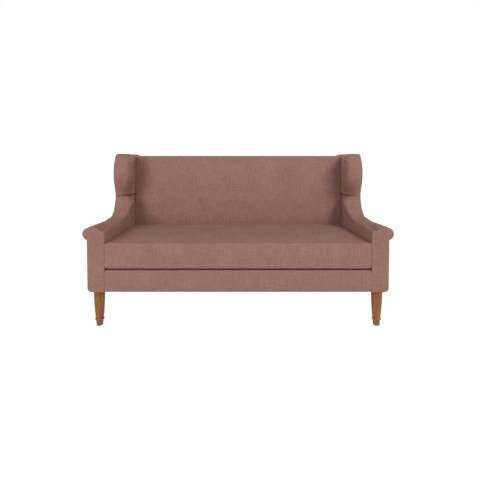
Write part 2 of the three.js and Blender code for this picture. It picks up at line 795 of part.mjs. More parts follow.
function zigzagSpring(x) {
  const path = [];
  const lead = springSpan / (springLoops * 2 + 2);
  const pointAt = (side, depth) => {
    path.push(new THREE.Vector3(x + side, behind(depth), springHeight((depth - springStart) / springSpan)));
  };
  const half = (springLoopWidth - springWire) / 2;
  pointAt(0, springStart);
  pointAt(0, springStart + lead * 0.6);
  for (let i = 0; i < springLoops * 2; i++) {
    const side = i % 2 ? -half : half;
    const middle = springStart + lead * (i + 1.5);
    pointAt(side, middle - lead * 0.24);
    pointAt(side, middle + lead * 0.24);
  }
  pointAt(0, springEnd - lead * 0.6);
  pointAt(0, springEnd);
  const up = new THREE.Vector3(0, 0, springWire / 2);
  const rings = path.map((point, i) => {
    const ahead = path[Math.min(i + 1, path.length - 1)];
    const back = path[Math.max(i - 1, 0)];
    const into = point.clone().sub(back).setZ(0);
    const onward = ahead.clone().sub(point).setZ(0);
    const along = ahead.clone().sub(back).setZ(0).normalize();
    const straight = (into.length() ? into : onward).normalize();
    const across = new THREE.Vector3(-along.y, along.x, 0);
    across.multiplyScalar(springWire / 2 / Math.max(0.5, straight.dot(along)));
    return [
      point.clone().add(across),
      point.clone().sub(up),
      point.clone().sub(across),
      point.clone().add(up),
    ];
  });
  return loft(rings, (p) => new THREE.Vector2(p.x, p.z));
}

const springX = (i) => spreadBetweenArms(i, springCount, springInset);
for (let i = 0; i < springCount; i++) {
  addMesh("seat_spring_" + (i + 1), zigzagSpring(springX(i)), steel);
}

// A steel strip along a rail with a lug at the end of each spring
function clipStrip(middle, springTip, outwards) {
  const stripX = springX(springCount - 1) + springLoopWidth / 2;
  const half = clipStripWidth / 2;
  const top = stripFoot + clipStripThickness;
  let strip = solid(block(-stripX, stripX, behind(middle - half), behind(middle + half), stripFoot, top));
  const lugNear = springTip + outwards * gap;
  const lugFar = middle + outwards * half;
  for (let i = 0; i < springCount; i++) {
    const x = springX(i);
    const y0 = behind(Math.min(lugNear, lugFar));
    const y1 = behind(Math.max(lugNear, lugFar));
    strip = strip.add(solid(block(x - clipLugWidth / 2, x + clipLugWidth / 2, y0, y1, stripFoot, top + clipLugHeight)));
  }
  return surfaceOf(strip);
}
addMesh("front_spring_clip_strip", clipStrip(springStart, springStart, -1), steel);
addMesh("rear_spring_clip_strip", clipStrip(springEnd, springEnd, 1), steel);

const tieX = springX(springCount - 1) + springLoopWidth / 2;
const tieBar = new THREE.CylinderGeometry(tieWire / 2, tieWire / 2, 2 * tieX, 6);
tieBar.rotateZ(Math.PI / 2);
const tieZ = springHeight(1 / 2) - springWire / 2 - gap - tieWire / 2;
tieBar.translate(0, behind((springStart + springEnd) / 2), tieZ);
addMesh("spring_tie_wire", tieBar, steel);

// Felt deck over the springs, and the cover under the frame
const deckRear = backDepth(deckTop - deckThickness, backPadDepth) - deckClearance;
addMesh(
  "seat_deck",
  block(-insideX, insideX, behind(borderReach + gap), behind(deckRear), deckTop - deckThickness, deckTop),
  felt,
);

const coverFront = borderReturn + gap;
const coverRear = rearBlockEnd - coverNotch;
const notchX = legX - legTopRadius - coverNotch;
const notchFront = legSetback + legTopRadius + coverNotch;
const notchRear = rearLegSetback - rearLegTop / 2 - coverNotch;
const sideX = footCentreX - gap;
const coverCorners = [
  [-notchX, coverFront], [notchX, coverFront], [notchX, notchFront], [sideX, notchFront],
  [sideX, notchRear], [notchX, notchRear], [notchX, coverRear], [-notchX, coverRear],
  [-notchX, notchRear], [-sideX, notchRear], [-sideX, notchFront], [-notchX, notchFront],
];
const coverShape = new THREE.Shape(coverCorners.map(([x, depth]) => new THREE.Vector2(x, behind(depth))));
const dustCover = new THREE.ExtrudeGeometry(coverShape, { depth: dustCoverThickness, bevelEnabled: false });
addMesh("dust_cover", dustCover.translate(0, 0, frameFoot - gap - dustCoverThickness), cambric);

// Upholstered border of the front rail, turned under it and carried back over the spring ends
const springsAtBorder = springHeight((borderReach - springStart) / springSpan);
const borderUnder = springsAtBorder + springWire / 2 + 2 * gap;
const borderShape = new THREE.Shape();
borderShape.moveTo(behind(borderReturn), legHeight);
borderShape.absarc(behind(borderFootRound), legHeight + borderFootRound, borderFootRound, -Math.PI / 2, -Math.PI, true);
borderShape.absarc(behind(borderTopRound), borderTop - borderTopRound, borderTopRound, Math.PI, Math.PI / 2, true);
borderShape.lineTo(behind(borderReach), borderTop);
borderShape.lineTo(behind(borderReach), borderUnder);
borderShape.lineTo(behind(borderPad), borderUnder);
borderShape.lineTo(behind(borderPad), frameFoot - gap);
borderShape.lineTo(behind(borderReturn), frameFoot - gap);
const border = new THREE.ExtrudeGeometry(borderShape, { depth: 2 * insideX, bevelEnabled: false, curveSegments: 5 });
const acrossTurn = new THREE.Matrix4().set(0, 0, 1, -insideX, 1, 0, 0, 0, 0, 1, 0, 0, 0, 0, 0, 1);
addMesh("front_border", border.applyMatrix4(acrossTurn), rose);

// Bench cushion: boxed and crowned, its sides a little drawn in between the corners
const cushionHalf = innerX - cushionSideClearance - cushionWallSwell;
const cushionFront = cushionWallSwell;
const cushionRear = seatDepth - cushionBackClearance - cushionWallSwell;
const cushionMiddle = (cushionFront + cushionRear) / 2;
const cushionReach = (cushionRear - cushionFront) / 2;
const cornerSteps = 4;
const longSteps = 10;
const shortSteps = 5;

function cushionOutline() {
  const outline = [];
  const cornerX = cushionHalf - cushionCornerRadius;
  const cornerY = cushionReach - cushionCornerRadius;
  const turns = [[1, -1, -0.5], [1, 1, 0], [-1, 1, 0.5], [-1, -1, 1]];
  turns.forEach(([sx, sy, start], side) => {
    for (let i = 0; i <= cornerSteps; i++) {
      const angle = Math.PI * (start + i / cornerSteps / 2);
      outline.push([
        sx * cornerX + cushionCornerRadius * Math.cos(angle),
        sy * cornerY + cushionCornerRadius * Math.sin(angle),
      ]);
    }
    const [nx, ny] = turns[(side + 1) % turns.length];
    const steps = side % 2 ? longSteps : shortSteps;
    for (let i = 1; i < steps; i++) {
      const share = i / steps;
      const drawn = cushionDrawIn * Math.sin(Math.PI * share);
      const x = THREE.MathUtils.lerp(sx * cornerX, nx * cornerX, share);
      const y = THREE.MathUtils.lerp(sy * cornerY, ny * cornerY, share);
      if (side % 2) outline.push([x, sy * (cushionReach - drawn)]);
      else outline.push([sx * (cushionHalf - drawn), y]);
    }
  });
  return outline;
}

const cushionPlan = cushionOutline();
function cushionPoint([x, y], z) {
  const lean = (z - seatHeight) * slope * (y / cushionReach + 1) / 2;
  return new THREE.Vector3(x, behind(cushionMiddle + y + lean), z);
}

function cushionRing(drop, z) {
  const ring = insetOutline(cushionPlan, cushionPlan.map(() => drop));
  return ring.map((place) => cushionPoint(place, z));
}

const cushionRings = [];
const roundShares = [0, 0.3, 0.65, 1];
for (const share of roundShares) {
  const angle = (Math.PI / 2) * share;
  cushionRings.push(
    cushionRing(cushionEdgeRound * (1 - Math.sin(angle)), cushionFoot + cushionEdgeRound * (1 - Math.cos(angle))),
  );
}
cushionRings.push(cushionRing(-cushionWallSwell, (cushionFoot + seatHeight) / 2));
for (const share of [...roundShares].reverse()) {
  const angle = (Math.PI / 2) * share;
  cushionRings.push(
    cushionRing(cushionEdgeRound * (1 - Math.sin(angle)), seatHeight - cushionEdgeRound * (1 - Math.cos(angle))),
  );
}
const topPlan = insetOutline(cushionPlan, cushionPlan.map(() => cushionEdgeRound));
const topShares = [0.1, 0.26, 0.48, 0.74, 0.92];
const coreHalf = cushionHalf - cushionReach;
for (const share of topShares) {
  cushionRings.push(
    topPlan.map(([x, y]) => {
      const coreX = THREE.MathUtils.clamp(x, -coreHalf, coreHalf);
      const px = THREE.MathUtils.lerp(x, coreX, share);
      const py = y * (1 - share);
      const across = 1 - Math.abs(px / cushionHalf) ** 4;
      const along = 1 - Math.abs(py / cushionReach) ** 2.4;
      return cushionPoint([px, py], seatHeight + cushionCrown * across * along);
    }),
  );
}
addMesh("seat_cushion", loft(cushionRings, (p) => new THREE.Vector2(p.x, p.y)), rose);

export default settee;
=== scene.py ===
# High back settee, dressed as in its photograph: timber frame, springs, felt, wadding,
# woven cloth and turned legs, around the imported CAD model. Metres, +Z up, front towards -Y.
import math

import bmesh
import bpy
import numpy as np
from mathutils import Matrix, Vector
from mathutils.geometry import delaunay_2d_cdt


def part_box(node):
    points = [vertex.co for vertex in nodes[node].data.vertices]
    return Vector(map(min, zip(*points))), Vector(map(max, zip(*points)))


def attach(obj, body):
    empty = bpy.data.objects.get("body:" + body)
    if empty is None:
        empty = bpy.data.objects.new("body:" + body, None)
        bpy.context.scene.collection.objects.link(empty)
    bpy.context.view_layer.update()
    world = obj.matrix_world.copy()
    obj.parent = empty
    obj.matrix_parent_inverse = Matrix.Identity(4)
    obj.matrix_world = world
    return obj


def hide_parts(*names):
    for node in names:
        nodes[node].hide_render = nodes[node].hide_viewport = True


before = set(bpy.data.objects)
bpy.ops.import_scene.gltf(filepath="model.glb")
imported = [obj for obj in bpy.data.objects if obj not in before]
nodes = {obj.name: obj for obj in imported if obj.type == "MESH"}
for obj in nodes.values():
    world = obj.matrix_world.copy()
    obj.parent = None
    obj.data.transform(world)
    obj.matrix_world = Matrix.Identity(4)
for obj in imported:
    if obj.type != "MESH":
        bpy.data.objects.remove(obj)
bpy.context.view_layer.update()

# Timber frame: seat rails, corner blocks, back frame, arm rails and wing boards.
# Beech, kiln dried, sawn and planed square, then glued and screwed. The CAD solids stay
# as they are and only get their wood, with the grain along each board.


def linear(colour):
    """An sRGB hex colour as the linear one that a shader reads."""
    parts = [int(colour[i : i + 2], 16) / 255 for i in (1, 3, 5)]
    return [c / 12.92 if c <= 0.04045 else ((c + 0.055) / 1.055) ** 2.4 for c in parts] + [1.0]


def set_inputs(tree, node, inputs):
    """Fills or links a node's inputs."""
    for name, value in inputs.items():
        if isinstance(value, bpy.types.NodeSocket):
            tree.links.new(value, node.inputs[name])
        else:
            node.inputs[name].default_value = value


def add_node(tree, kind, inputs=None, stops=(), **settings):
    """Adds a node with its settings and inputs. A colour ramp has stops: a place and a hex colour each."""
    made = tree.nodes.new(kind)
    for name, value in settings.items():
        setattr(made, name, value)
    set_inputs(tree, made, inputs or {})
    for place, _ in stops[2:]:
        made.color_ramp.elements.new(place)
    for i, (place, colour) in enumerate(stops):
        made.color_ramp.elements[i].position = place
        made.color_ramp.elements[i].color = linear(colour)
    return made


def new_finish(name):
    """A material with nothing in it but its shader."""
    finish = bpy.data.materials.new(name)
    finish.use_nodes = True
    tree = finish.node_tree
    tree.nodes.clear()
    shader = add_node(tree, "ShaderNodeBsdfPrincipled")
    add_node(tree, "ShaderNodeOutputMaterial", {"Surface": shader.outputs[0]})
    return finish, tree, shader


def grained_wood(name, along, shades, ring_width, fleck_width, gloss, lacquer=None):
    """Wood whose grain runs along one axis, 0 to 2. Shades are pale, dark and fleck, widths in metres."""
    pale, dark, fleck = shades
    finish, tree, shader = new_finish(name)
    place, drawn_out = add_node(tree, "ShaderNodeTexCoord").outputs["Object"], []
    for share in (0.06, 0.16):
        scale = [share if axis == along else 1.0 for axis in range(3)]
        drawn_out.append(add_node(tree, "ShaderNodeMapping", {"Vector": place, "Scale": scale}).outputs[0])
    growth = {"Vector": drawn_out[0], "Scale": 0.4 / ring_width, "Roughness": 0.62, "Distortion": 0.6}
    rings = add_node(tree, "ShaderNodeTexNoise", {**growth, "Detail": 5.0}).outputs["Fac"]
    pores = {"Vector": drawn_out[1], "Scale": 0.5 / fleck_width, "Detail": 2.0}
    flecks = add_node(tree, "ShaderNodeTexNoise", pores).outputs["Fac"]
    body = add_node(tree, "ShaderNodeValToRGB", {"Fac": rings}, [(0.32, dark), (0.68, pale)]).outputs[0]
    strength = {"Value": flecks, "From Min": 0.56, "From Max": 0.7, "To Min": 0.0, "To Max": 0.55}
    marked = add_node(tree, "ShaderNodeMapRange", strength).outputs[0]
    colours = {"Factor": marked, 6: body, 7: linear(fleck)}
    colour = add_node(tree, "ShaderNodeMix", colours, data_type="RGBA").outputs[2]
    worn = {"Value": rings, "To Min": gloss + 0.1, "To Max": gloss - 0.06}
    rough = add_node(tree, "ShaderNodeMapRange", worn).outputs[0]
    bump = add_node(tree, "ShaderNodeBump", {"Height": flecks, "Strength": 0.25, "Distance": 0.0004})
    surface = {"Base Color": colour, "Roughness": rough, "Normal": bump.outputs[0]}
    set_inputs(tree, shader, {**surface, **(lacquer or {})})
    return finish


# Planed beech: pale pink brown and matt, with short dark ray flecks. The real flecks are
# under a millimetre wide, and are drawn 1.2 mm wide so that they show.
beech = [
    grained_wood("planed_beech_" + axis, i, ("#d3b18a", "#bd9469", "#9d7449"), 0.005, 0.0012, 0.62)
    for i, axis in enumerate("xyz")
]


def dress(node, finish):
    """Gives a CAD node that stays its finish."""
    nodes[node].data.materials.clear()
    nodes[node].data.materials.append(finish)


sides = {"left": -1, "right": 1}  # and their signs along X
for node in ("back_top_rail", "back_tack_rail", "back_seat_rail", "front_seat_rail"):
    dress(node, beech[0])
dress("centre_stretcher", beech[1])
dress("back_centre_upright", beech[2])
for side in sides:
    for piece in ("side_seat_rail", "arm_top_rail", "front_corner_block", "rear_corner_block"):
        dress(side + "_" + piece, beech[1])
    for piece in ("front_arm_post", "back_post", "wing_board"):
        dress(side + "_" + piece, beech[2])

# Leg plates and their bolts: pressed steel, zinc plated, screwed up into the corner blocks.
# Plating shows as a cool grey with faint cloudy patches of a few millimetres.


def bright_steel(name, colour, grit, roughness):
    """Steel with fine wear of a given grain, in metres."""
    finish, tree, shader = new_finish(name)
    place = add_node(tree, "ShaderNodeTexCoord").outputs["Object"]
    grains = {"Vector": place, "Scale": 0.5 / grit, "Detail": 4.0}
    wear = add_node(tree, "ShaderNodeTexNoise", grains).outputs["Fac"]
    spread = {"Value": wear, "To Min": roughness - 0.1, "To Max": roughness + 0.14}
    worn = add_node(tree, "ShaderNodeMapRange", spread).outputs[0]
    dull = add_node(tree, "ShaderNodeValToRGB", {"Fac": wear}, [(0.3, colour), (0.7, "#b9bcc0")]).outputs[0]
    bump = add_node(tree, "ShaderNodeBump", {"Height": wear, "Strength": 0.15, "Distance": 0.0003})
    surface = {"Base Color": dull, "Roughness": worn, "Normal": bump.outputs[0]}
    set_inputs(tree, shader, {**surface, "Metallic": 1.0})
    return finish


zinc_plate = bright_steel("zinc_plated_steel", "#9a9da1", 0.006, 0.38)
for side in sides:
    for place in ("front", "rear"):
        dress(side + "_" + place + "_leg_bolt_plate", zinc_plate)

# Front legs: ash, turned on a lathe to a long taper with a thin collar and a short toe,
# stained mid brown and finished in satin lacquer. Each screws onto the bolt of its plate.


def smoothed(mesh):
    """Shades a mesh as one smooth surface."""
    mesh.polygons.foreach_set("use_smooth", [True] * len(mesh.polygons))
    return mesh


def linked(name, data):
    """A new object in the scene, of a mesh, light or camera."""
    piece = bpy.data.objects.new(name, data)
    bpy.context.scene.collection.objects.link(piece)
    return piece


def make_piece(name, points, faces, cloth=None):
    """A mesh object from points and faces, with outward faces. cloth holds a UV for each face corner."""
    mesh = bpy.data.meshes.new(name)
    mesh.from_pydata([tuple(p) for p in points], [], [tuple(int(i) for i in f) for f in faces])
    if cloth is not None:
        layer = mesh.uv_layers.new(name="cloth")
        layer.data.foreach_set("uv", np.asarray(cloth, float).ravel())
    body = bmesh.new()
    body.from_mesh(mesh)
    bmesh.ops.remove_doubles(body, verts=body.verts, dist=1e-6)
    bmesh.ops.recalc_face_normals(body, faces=body.faces)
    body.to_mesh(mesh)
    body.free()
    return linked(name, smoothed(mesh))


def between_rings(count, rings):
    """Quads that join rings of equally many points."""
    return [
        (r * count + i, r * count + (i + 1) % count, (r + 1) * count + (i + 1) % count, (r + 1) * count + i)
        for r in range(rings - 1)
        for i in range(count)
    ]


def closed_tube(count, rings):
    """The same quads, and a face over each end."""
    ends = [tuple(range(count)), tuple(range((rings - 1) * count, rings * count))]
    return between_rings(count, rings) + ends


def arc(x, y, radius, start, end, count, tall=None):
    """Points round a centre, from one angle to another. tall is an ellipse's radius along Y."""
    tall, angles = tall or radius, np.linspace(start, end, count)
    return [(x + radius * math.cos(a), y + tall * math.sin(a)) for a in angles]


def finished(piece, finish, body, slot, *stands_for):
    """Puts the material on a piece, and says what it rides on and stands for."""
    piece.data.materials.clear()
    piece.data.materials.append(finish)
    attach(piece, body)
    if stands_for:
        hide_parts(*stands_for)


def crease_edges(piece, angle):
    """Keeps edges sharper than an angle crisp in the shading."""
    body = bmesh.new()
    body.from_mesh(piece.data)
    for edge in body.edges:
        if len(edge.link_faces) == 2 and edge.calc_face_angle(0) > math.radians(angle):
            edge.smooth = False
    body.to_mesh(piece.data)
    body.free()
    return piece


# Ash takes stain in its pores: warm brown with darker streaks 2 mm wide along the leg.
lacquer = {"Specular IOR Level": 0.35, "Coat Weight": 0.15, "Coat Roughness": 0.35}
leg_shades = ("#b17337", "#683813", "#45210a")
leg_ash = grained_wood("stained_ash_satin_lacquer", 2, leg_shades, 0.0042, 0.0015, 0.46, lacquer)

# Half profile from the floor up, in millimetres: toe, collar, neck, swelling, shoulder, bolt hole
leg_profile = [
    (0, 0), (15.4, 0), (16.6, 0.4), (17.3, 1.3), (17.6, 3.0), (18.1, 9), (18.9, 18), (19.6, 26),
    (20.0, 31.2), (20.6, 32.6), (22.8, 33.2), (24.5, 34), (25.3, 35.4), (25.5, 37.5), (25.3, 39.6),
    (24.4, 41), (23.0, 41.8), (22.3, 42.4), (22.1, 43.6), (22.3, 47), (23.5, 60), (25.1, 78),
    (26.8, 100), (28.3, 125), (29.3, 146), (29.9, 163), (30.4, 182), (30.8, 198), (31, 209),
    (4.3, 209), (4.3, 174.7), (0, 174.7),
]
turns, arris = 56, 50  # an edge sharper than the arris angle, in degrees, stays crisp
for side in sides:
    low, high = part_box(side + "_front_leg")
    centre = (low + high) / 2
    points = []
    for radius, height in leg_profile:
        ring = arc(centre.x, centre.y, max(radius, 0.0005) / 1000, 0, 2 * math.pi, turns + 1)[:-1]
        points += [(x, y, height / 1000) for x, y in ring]
    leg = make_piece(side + "_front_leg_turned", points, closed_tube(turns, len(leg_profile)))
    finished(crease_edges(leg, arris), leg_ash, "settee_body", "leg_wood", side + "_front_leg")

# Rear legs: the same ash, sawn square and tapered, raked back, with planed edges.
# They are hidden in the photograph and carry no turning.
rear_top, rear_foot, rear_ease, corner_points = 0.050, 0.032, 0.006, 6
bolt_hole, bolt_hole_depth = 0.0043, 0.0343


def rounded_outline(low, high, rounds, count):
    """A box's outline, anticlockwise, with the rounds of its low and high corners, each of count points."""
    outline = []
    for right, up, turn in ((1, 0, -0.5), (1, 1, 0.0), (0, 1, 0.5), (0, 0, 1.0)):
        radius = rounds[up]
        x = high[0] - radius if right else low[0] + radius
        y = high[1] - radius if up else low[1] + radius
        outline += arc(x, y, radius, math.pi * turn, math.pi * (turn + 0.5), count)
    return outline


for side in sides:
    low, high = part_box(side + "_rear_leg")
    x, top_y, foot_y = (low.x + high.x) / 2, low.y + rear_top / 2, high.y - rear_foot / 2
    stations = [(0.0, 0.84), (0.0012, 0.94), (0.004, 1.0), (0.07, 1.0), (0.14, 1.0)]
    stations += [(high.z - 0.002, 1.0), (high.z, 0.97)]
    points, count = [], 4 * corner_points
    for height, share in stations:
        rise = height / high.z
        half = (rear_foot + (rear_top - rear_foot) * rise) / 2 * share
        y = foot_y + (top_y - foot_y) * rise
        corners = (x - half, y - half), (x + half, y + half)
        ring = rounded_outline(*corners, (rear_ease, rear_ease), corner_points)
        points += [(*p, height) for p in ring]
    start = math.pi / count - math.pi / 2
    hole = arc(x, top_y, bolt_hole, start, start + 2 * math.pi, count + 1)[:-1]
    points += [(*p, height) for height in (high.z, high.z - bolt_hole_depth) for p in hole]
    leg = make_piece(side + "_rear_leg_tapered", points, closed_tube(count, len(stations) + 2))
    finished(crease_edges(leg, arris), leg_ash, "settee_body", "leg_wood", side + "_rear_leg")

# Seat springs: zigzags of 4 mm drawn steel wire, each hooked into a clip at the front rail
# and at the back rail, arched a little, with one tie wire across the middle under them.


def new_tree(name, **sizes):
    """A geometry tree that works on a path, with named sizes and a finish as its inputs."""
    tree = bpy.data.node_groups.new(name, "GeometryNodeTree")
    face = tree.interface
    face.new_socket(name="Path", in_out="INPUT", socket_type="NodeSocketGeometry")
    for size, value in sizes.items():
        face.new_socket(name=size, in_out="INPUT", socket_type="NodeSocketFloat").default_value = value
    face.new_socket(name="Finish", in_out="INPUT", socket_type="NodeSocketMaterial")
    face.new_socket(name="Made", in_out="OUTPUT", socket_type="NodeSocketGeometry")
    given = add_node(tree, "NodeGroupInput").outputs
    return tree, given, add_node(tree, "GeometryNodeMeshToCurve", {"Mesh": given["Path"]}).outputs[0]


def round_wire(tree, curve, resolution, radius):
    """A round wire along a curve, with its ends closed."""
    ring = add_node(tree, "GeometryNodeCurvePrimitiveCircle", {"Resolution": resolution, "Radius": radius})
    inputs = {"Curve": curve, "Profile Curve": ring.outputs[0], "Fill Caps": True}
    return add_node(tree, "GeometryNodeCurveToMesh", inputs).outputs[0]


def end_tree(tree, geometry, finish):
    """Makes what a tree has built real, and gives it its finish."""
    whole = add_node(tree, "GeometryNodeRealizeInstances", {"Geometry": geometry}).outputs[0]
    coated = add_node(tree, "GeometryNodeSetMaterial", {"Geometry": whole, "Material": finish})
    add_node(tree, "NodeGroupOutput", {"Made": coated.outputs[0]})


def made_by(tree, name, path, values):
    """Runs a tree on a path mesh and gives back the plain mesh that it makes, as an object."""
    holder = linked(name + "_path", path)
    modifier = holder.modifiers.new("made", "NODES")
    modifier.node_group = tree
    for socket in tree.interface.items_tree:
        if socket.item_type == "SOCKET" and socket.in_out == "INPUT" and socket.name in values:
            modifier[socket.identifier] = values[socket.name]
    bpy.context.view_layer.update()
    graph = bpy.context.evaluated_depsgraph_get()
    mesh = bpy.data.meshes.new_from_object(holder.evaluated_get(graph))
    bpy.data.objects.remove(holder)
    return linked(name, smoothed(mesh))


bent_wire, given, line = new_tree("bent_wire", Bend=0.006, Wire=0.002)
bends = add_node(
    bent_wire,
    "GeometryNodeFilletCurve",
    {"Curve": line, "Radius": given["Bend"], "Limit Radius": True, "Count": 4},
    mode="POLY",
)
end_tree(bent_wire, round_wire(bent_wire, bends.outputs[0], 8, given["Wire"]), given["Finish"])


def path_of(points, out=None):
    """A line of points as a mesh of edges. out gives each point the way out of the surface."""
    mesh = bpy.data.meshes.new("path")
    mesh.from_pydata([tuple(p) for p in points], [(i, i + 1) for i in range(len(points) - 1)], [])
    if out is not None:
        layer = mesh.attributes.new("out", "FLOAT_VECTOR", "POINT")
        layer.data.foreach_set("vector", np.asarray(out, float).ravel())
    return mesh


# Drawn spring wire: bright, slightly oiled, with fine draw marks.
drawn_wire = bright_steel("drawn_spring_wire", "#7f8287", 0.003, 0.32)
wire_radius, spring_width, spring_loops = 0.002, 0.046, 11
for i in range(1, 9):
    low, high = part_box(f"seat_spring_{i}")
    x, span = (low.x + high.x) / 2, high.y - low.y
    lead = span / (spring_loops * 2 + 2)
    rise = high.z - low.z - 2 * wire_radius

    def on_spring(across, along):
        return (x + across, low.y + along, low.z + wire_radius + rise * math.sin(math.pi * along / span))

    half = spring_width / 2 - wire_radius
    points = [on_spring(0, 0), on_spring(0, lead * 0.6)]
    for loop in range(spring_loops * 2):
        middle = lead * (loop + 1.5)
        across = -half if loop % 2 else half
        points += [on_spring(across, middle - lead * 0.28), on_spring(across, middle + lead * 0.28)]
    points += [on_spring(0, span - lead * 0.6), on_spring(0, span)]
    spring = made_by(
        bent_wire,
        f"seat_spring_{i}_wire",
        path_of(points),
        {"Bend": 0.0055, "Wire": wire_radius - 0.0001, "Finish": drawn_wire},
    )
    finished(spring, drawn_wire, "settee_body", "spring_steel", f"seat_spring_{i}")
for node in ("front_spring_clip_strip", "rear_spring_clip_strip"):
    dress(node, zinc_plate)

# The tie wire is paper covered: thin twisted kraft paper over steel.
paper, tree, shader = new_finish("kraft_paper_covered_wire")
place = add_node(tree, "ShaderNodeTexCoord").outputs["Object"]
wrap = {"Vector": place, "Scale": 55.0, "Distortion": 1.2}
twist = add_node(tree, "ShaderNodeTexWave", wrap, bands_direction="DIAGONAL").outputs["Fac"]
brown = add_node(tree, "ShaderNodeValToRGB", {"Fac": twist}, [(0.0, "#8d6d49"), (1.0, "#b3946c")]).outputs[0]
bump = add_node(tree, "ShaderNodeBump", {"Height": twist, "Strength": 0.4, "Distance": 0.0005})
set_inputs(tree, shader, {"Base Color": brown, "Roughness": 0.8, "Normal": bump.outputs[0]})
dress("spring_tie_wire", paper)

# Back webbing: elastic bands 50 mm wide, stretched from the tack rail to the top rail and
# stapled at both ends. The weave is ribbed along the band.
webbing, tree, shader = new_finish("woven_elastic_webbing")
lie = add_node(tree, "ShaderNodeUVMap", uv_map="cloth").outputs[0]
ribbing = {"Vector": lie, "Scale": 70.0}
ribs = add_node(tree, "ShaderNodeTexWave", ribbing, bands_direction="X").outputs["Fac"]
crossing = {"Vector": lie, "Scale": 110.0, "Distortion": 0.6}
picks = add_node(tree, "ShaderNodeTexWave", crossing, bands_direction="Y").outputs["Fac"]
woven = add_node(tree, "ShaderNodeMath", {0: ribs, 1: picks}, operation="MULTIPLY").outputs[0]
black = add_node(tree, "ShaderNodeValToRGB", {"Fac": woven}, [(0.0, "#262423"), (1.0, "#4b4643")]).outputs[0]
bump = add_node(tree, "ShaderNodeBump", {"Height": woven, "Strength": 0.6, "Distance": 0.0006})
set_inputs(tree, shader, {"Base Color": black, "Roughness": 0.85, "Normal": bump.outputs[0]})
band_thickness, columns, rows, narrowing = 0.0014, 8, 60, 0.0012
for i in range(1, 4):
    low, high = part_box(f"back_webbing_{i}")
    lean = (high.y - low.y - 0.0016) / (high.z - low.z)
    points, count = [], 2 * (columns + 1)
    for rise in np.linspace(0, 1, rows + 1):
        narrower = narrowing * math.sin(math.pi * rise)
        z = low.z + (high.z - low.z) * rise
        y = low.y + 0.0001 + lean * (z - low.z)
        across = np.linspace(low.x + narrower, high.x - narrower, columns + 1)
        points += [(x, y, z) for x in across] + [(x, y + band_thickness, z) for x in across[::-1]]
    faces = closed_tube(count, rows + 1)
    cloth = [(points[k][0] - low.x, points[k][2]) for face in faces for k in face]
    band = make_piece(f"back_webbing_band_{i}", points, faces, cloth)
    finished(band, webbing, "settee_body", "elastic_webbing", f"back_webbing_{i}")

# Seat deck: a 10 mm sheet of needled felt over the springs, tacked to the back rail and
# sewn to the border's cloth. It shows the springs below as faint ridges.


def divided(outline, step):
    """An outline with points added so that none is further than a step from the next."""
    made = []
    outline = [tuple(p) for p in outline]
    for here, there in zip(outline, outline[1:] + outline[:1]):
        count = max(1, math.ceil(math.dist(here, there) / step - 1e-6))
        for i in range(count):
            share = i / count
            made.append((here[0] + (there[0] - here[0]) * share, here[1] + (there[1] - here[1]) * share))
    return np.array(made)


def shrunk(outline, distances):
    """An anticlockwise outline moved inwards, each edge by its own distance."""
    ahead = np.roll(outline, -1, axis=0) - outline
    ahead /= np.linalg.norm(ahead, axis=1)[:, None]
    inward = np.stack([-ahead[:, 1], ahead[:, 0]], axis=1)
    before = np.roll(inward, 1, axis=0)
    onward = np.broadcast_to(distances, len(outline)).astype(float)
    behind_it = np.roll(onward, 1)
    cross = before[:, 0] * inward[:, 1] - before[:, 1] * inward[:, 0]
    share = (onward + behind_it) / 2 / (1 + (before * inward).sum(1))
    gentle = outline + (before + inward) * share[:, None]
    safe = np.where(np.abs(cross) > 0.45, cross, 1)
    sharp = outline + np.stack(
        [
            (behind_it * inward[:, 1] - onward * before[:, 1]) / safe,
            (before[:, 0] * onward - inward[:, 0] * behind_it) / safe,
        ],
        axis=1,
    )
    return np.where((np.abs(cross) > 0.45)[:, None], sharp, gentle)


def to_outline(points, outline):
    """How far each point is from an outline, and whether it is inside."""
    nearest = np.full(len(points), 1e9)
    inside = np.zeros(len(points), bool)
    for a, b in zip(outline, np.roll(outline, -1, axis=0)):
        edge = b - a
        share = np.clip(((points - a) @ edge) / max(edge @ edge, 1e-18), 0, 1)
        nearest = np.minimum(nearest, np.linalg.norm(points - a - share[:, None] * edge, axis=1))
        crosses = (a[1] > points[:, 1]) != (b[1] > points[:, 1])
        if a[1] != b[1]:
            inside ^= crosses & (points[:, 0] < a[0] + (points[:, 1] - a[1]) * edge[0] / edge[1])
    return nearest, inside


def filled(outline, spacing):
    """Points and even triangles that fill an outline. The outline's own points come first."""
    low, high = outline.min(0), outline.max(0)
    across = np.arange(low[0] + spacing / 2, high[0], spacing)
    up = np.arange(low[1] + spacing / 2, high[1], spacing * 0.866)
    grid = np.array([(x + (r % 2) * spacing / 2, y) for r, y in enumerate(up) for x in across])
    nearest, inside = to_outline(grid, outline)
    kept = grid[inside & (nearest > spacing * 0.55)]
    points = np.vstack([outline, kept])
    count = len(outline)
    edges = [(i, (i + 1) % count) for i in range(count)]
    out, _, triangles, came_from, _, _ = delaunay_2d_cdt([tuple(p) for p in points], edges, [], 1, 1e-9)
    source = [c[0] if c else -1 for c in came_from]
    return points, [tuple(source[i] for i in t) for t in triangles if all(source[i] >= 0 for i in t)]


def distances_round(ring):
    """How far along a closed line each of its points lies, and at last the line's whole length."""
    return np.append(0, np.cumsum(np.linalg.norm(np.roll(ring, -1, axis=0) - ring, axis=1)))


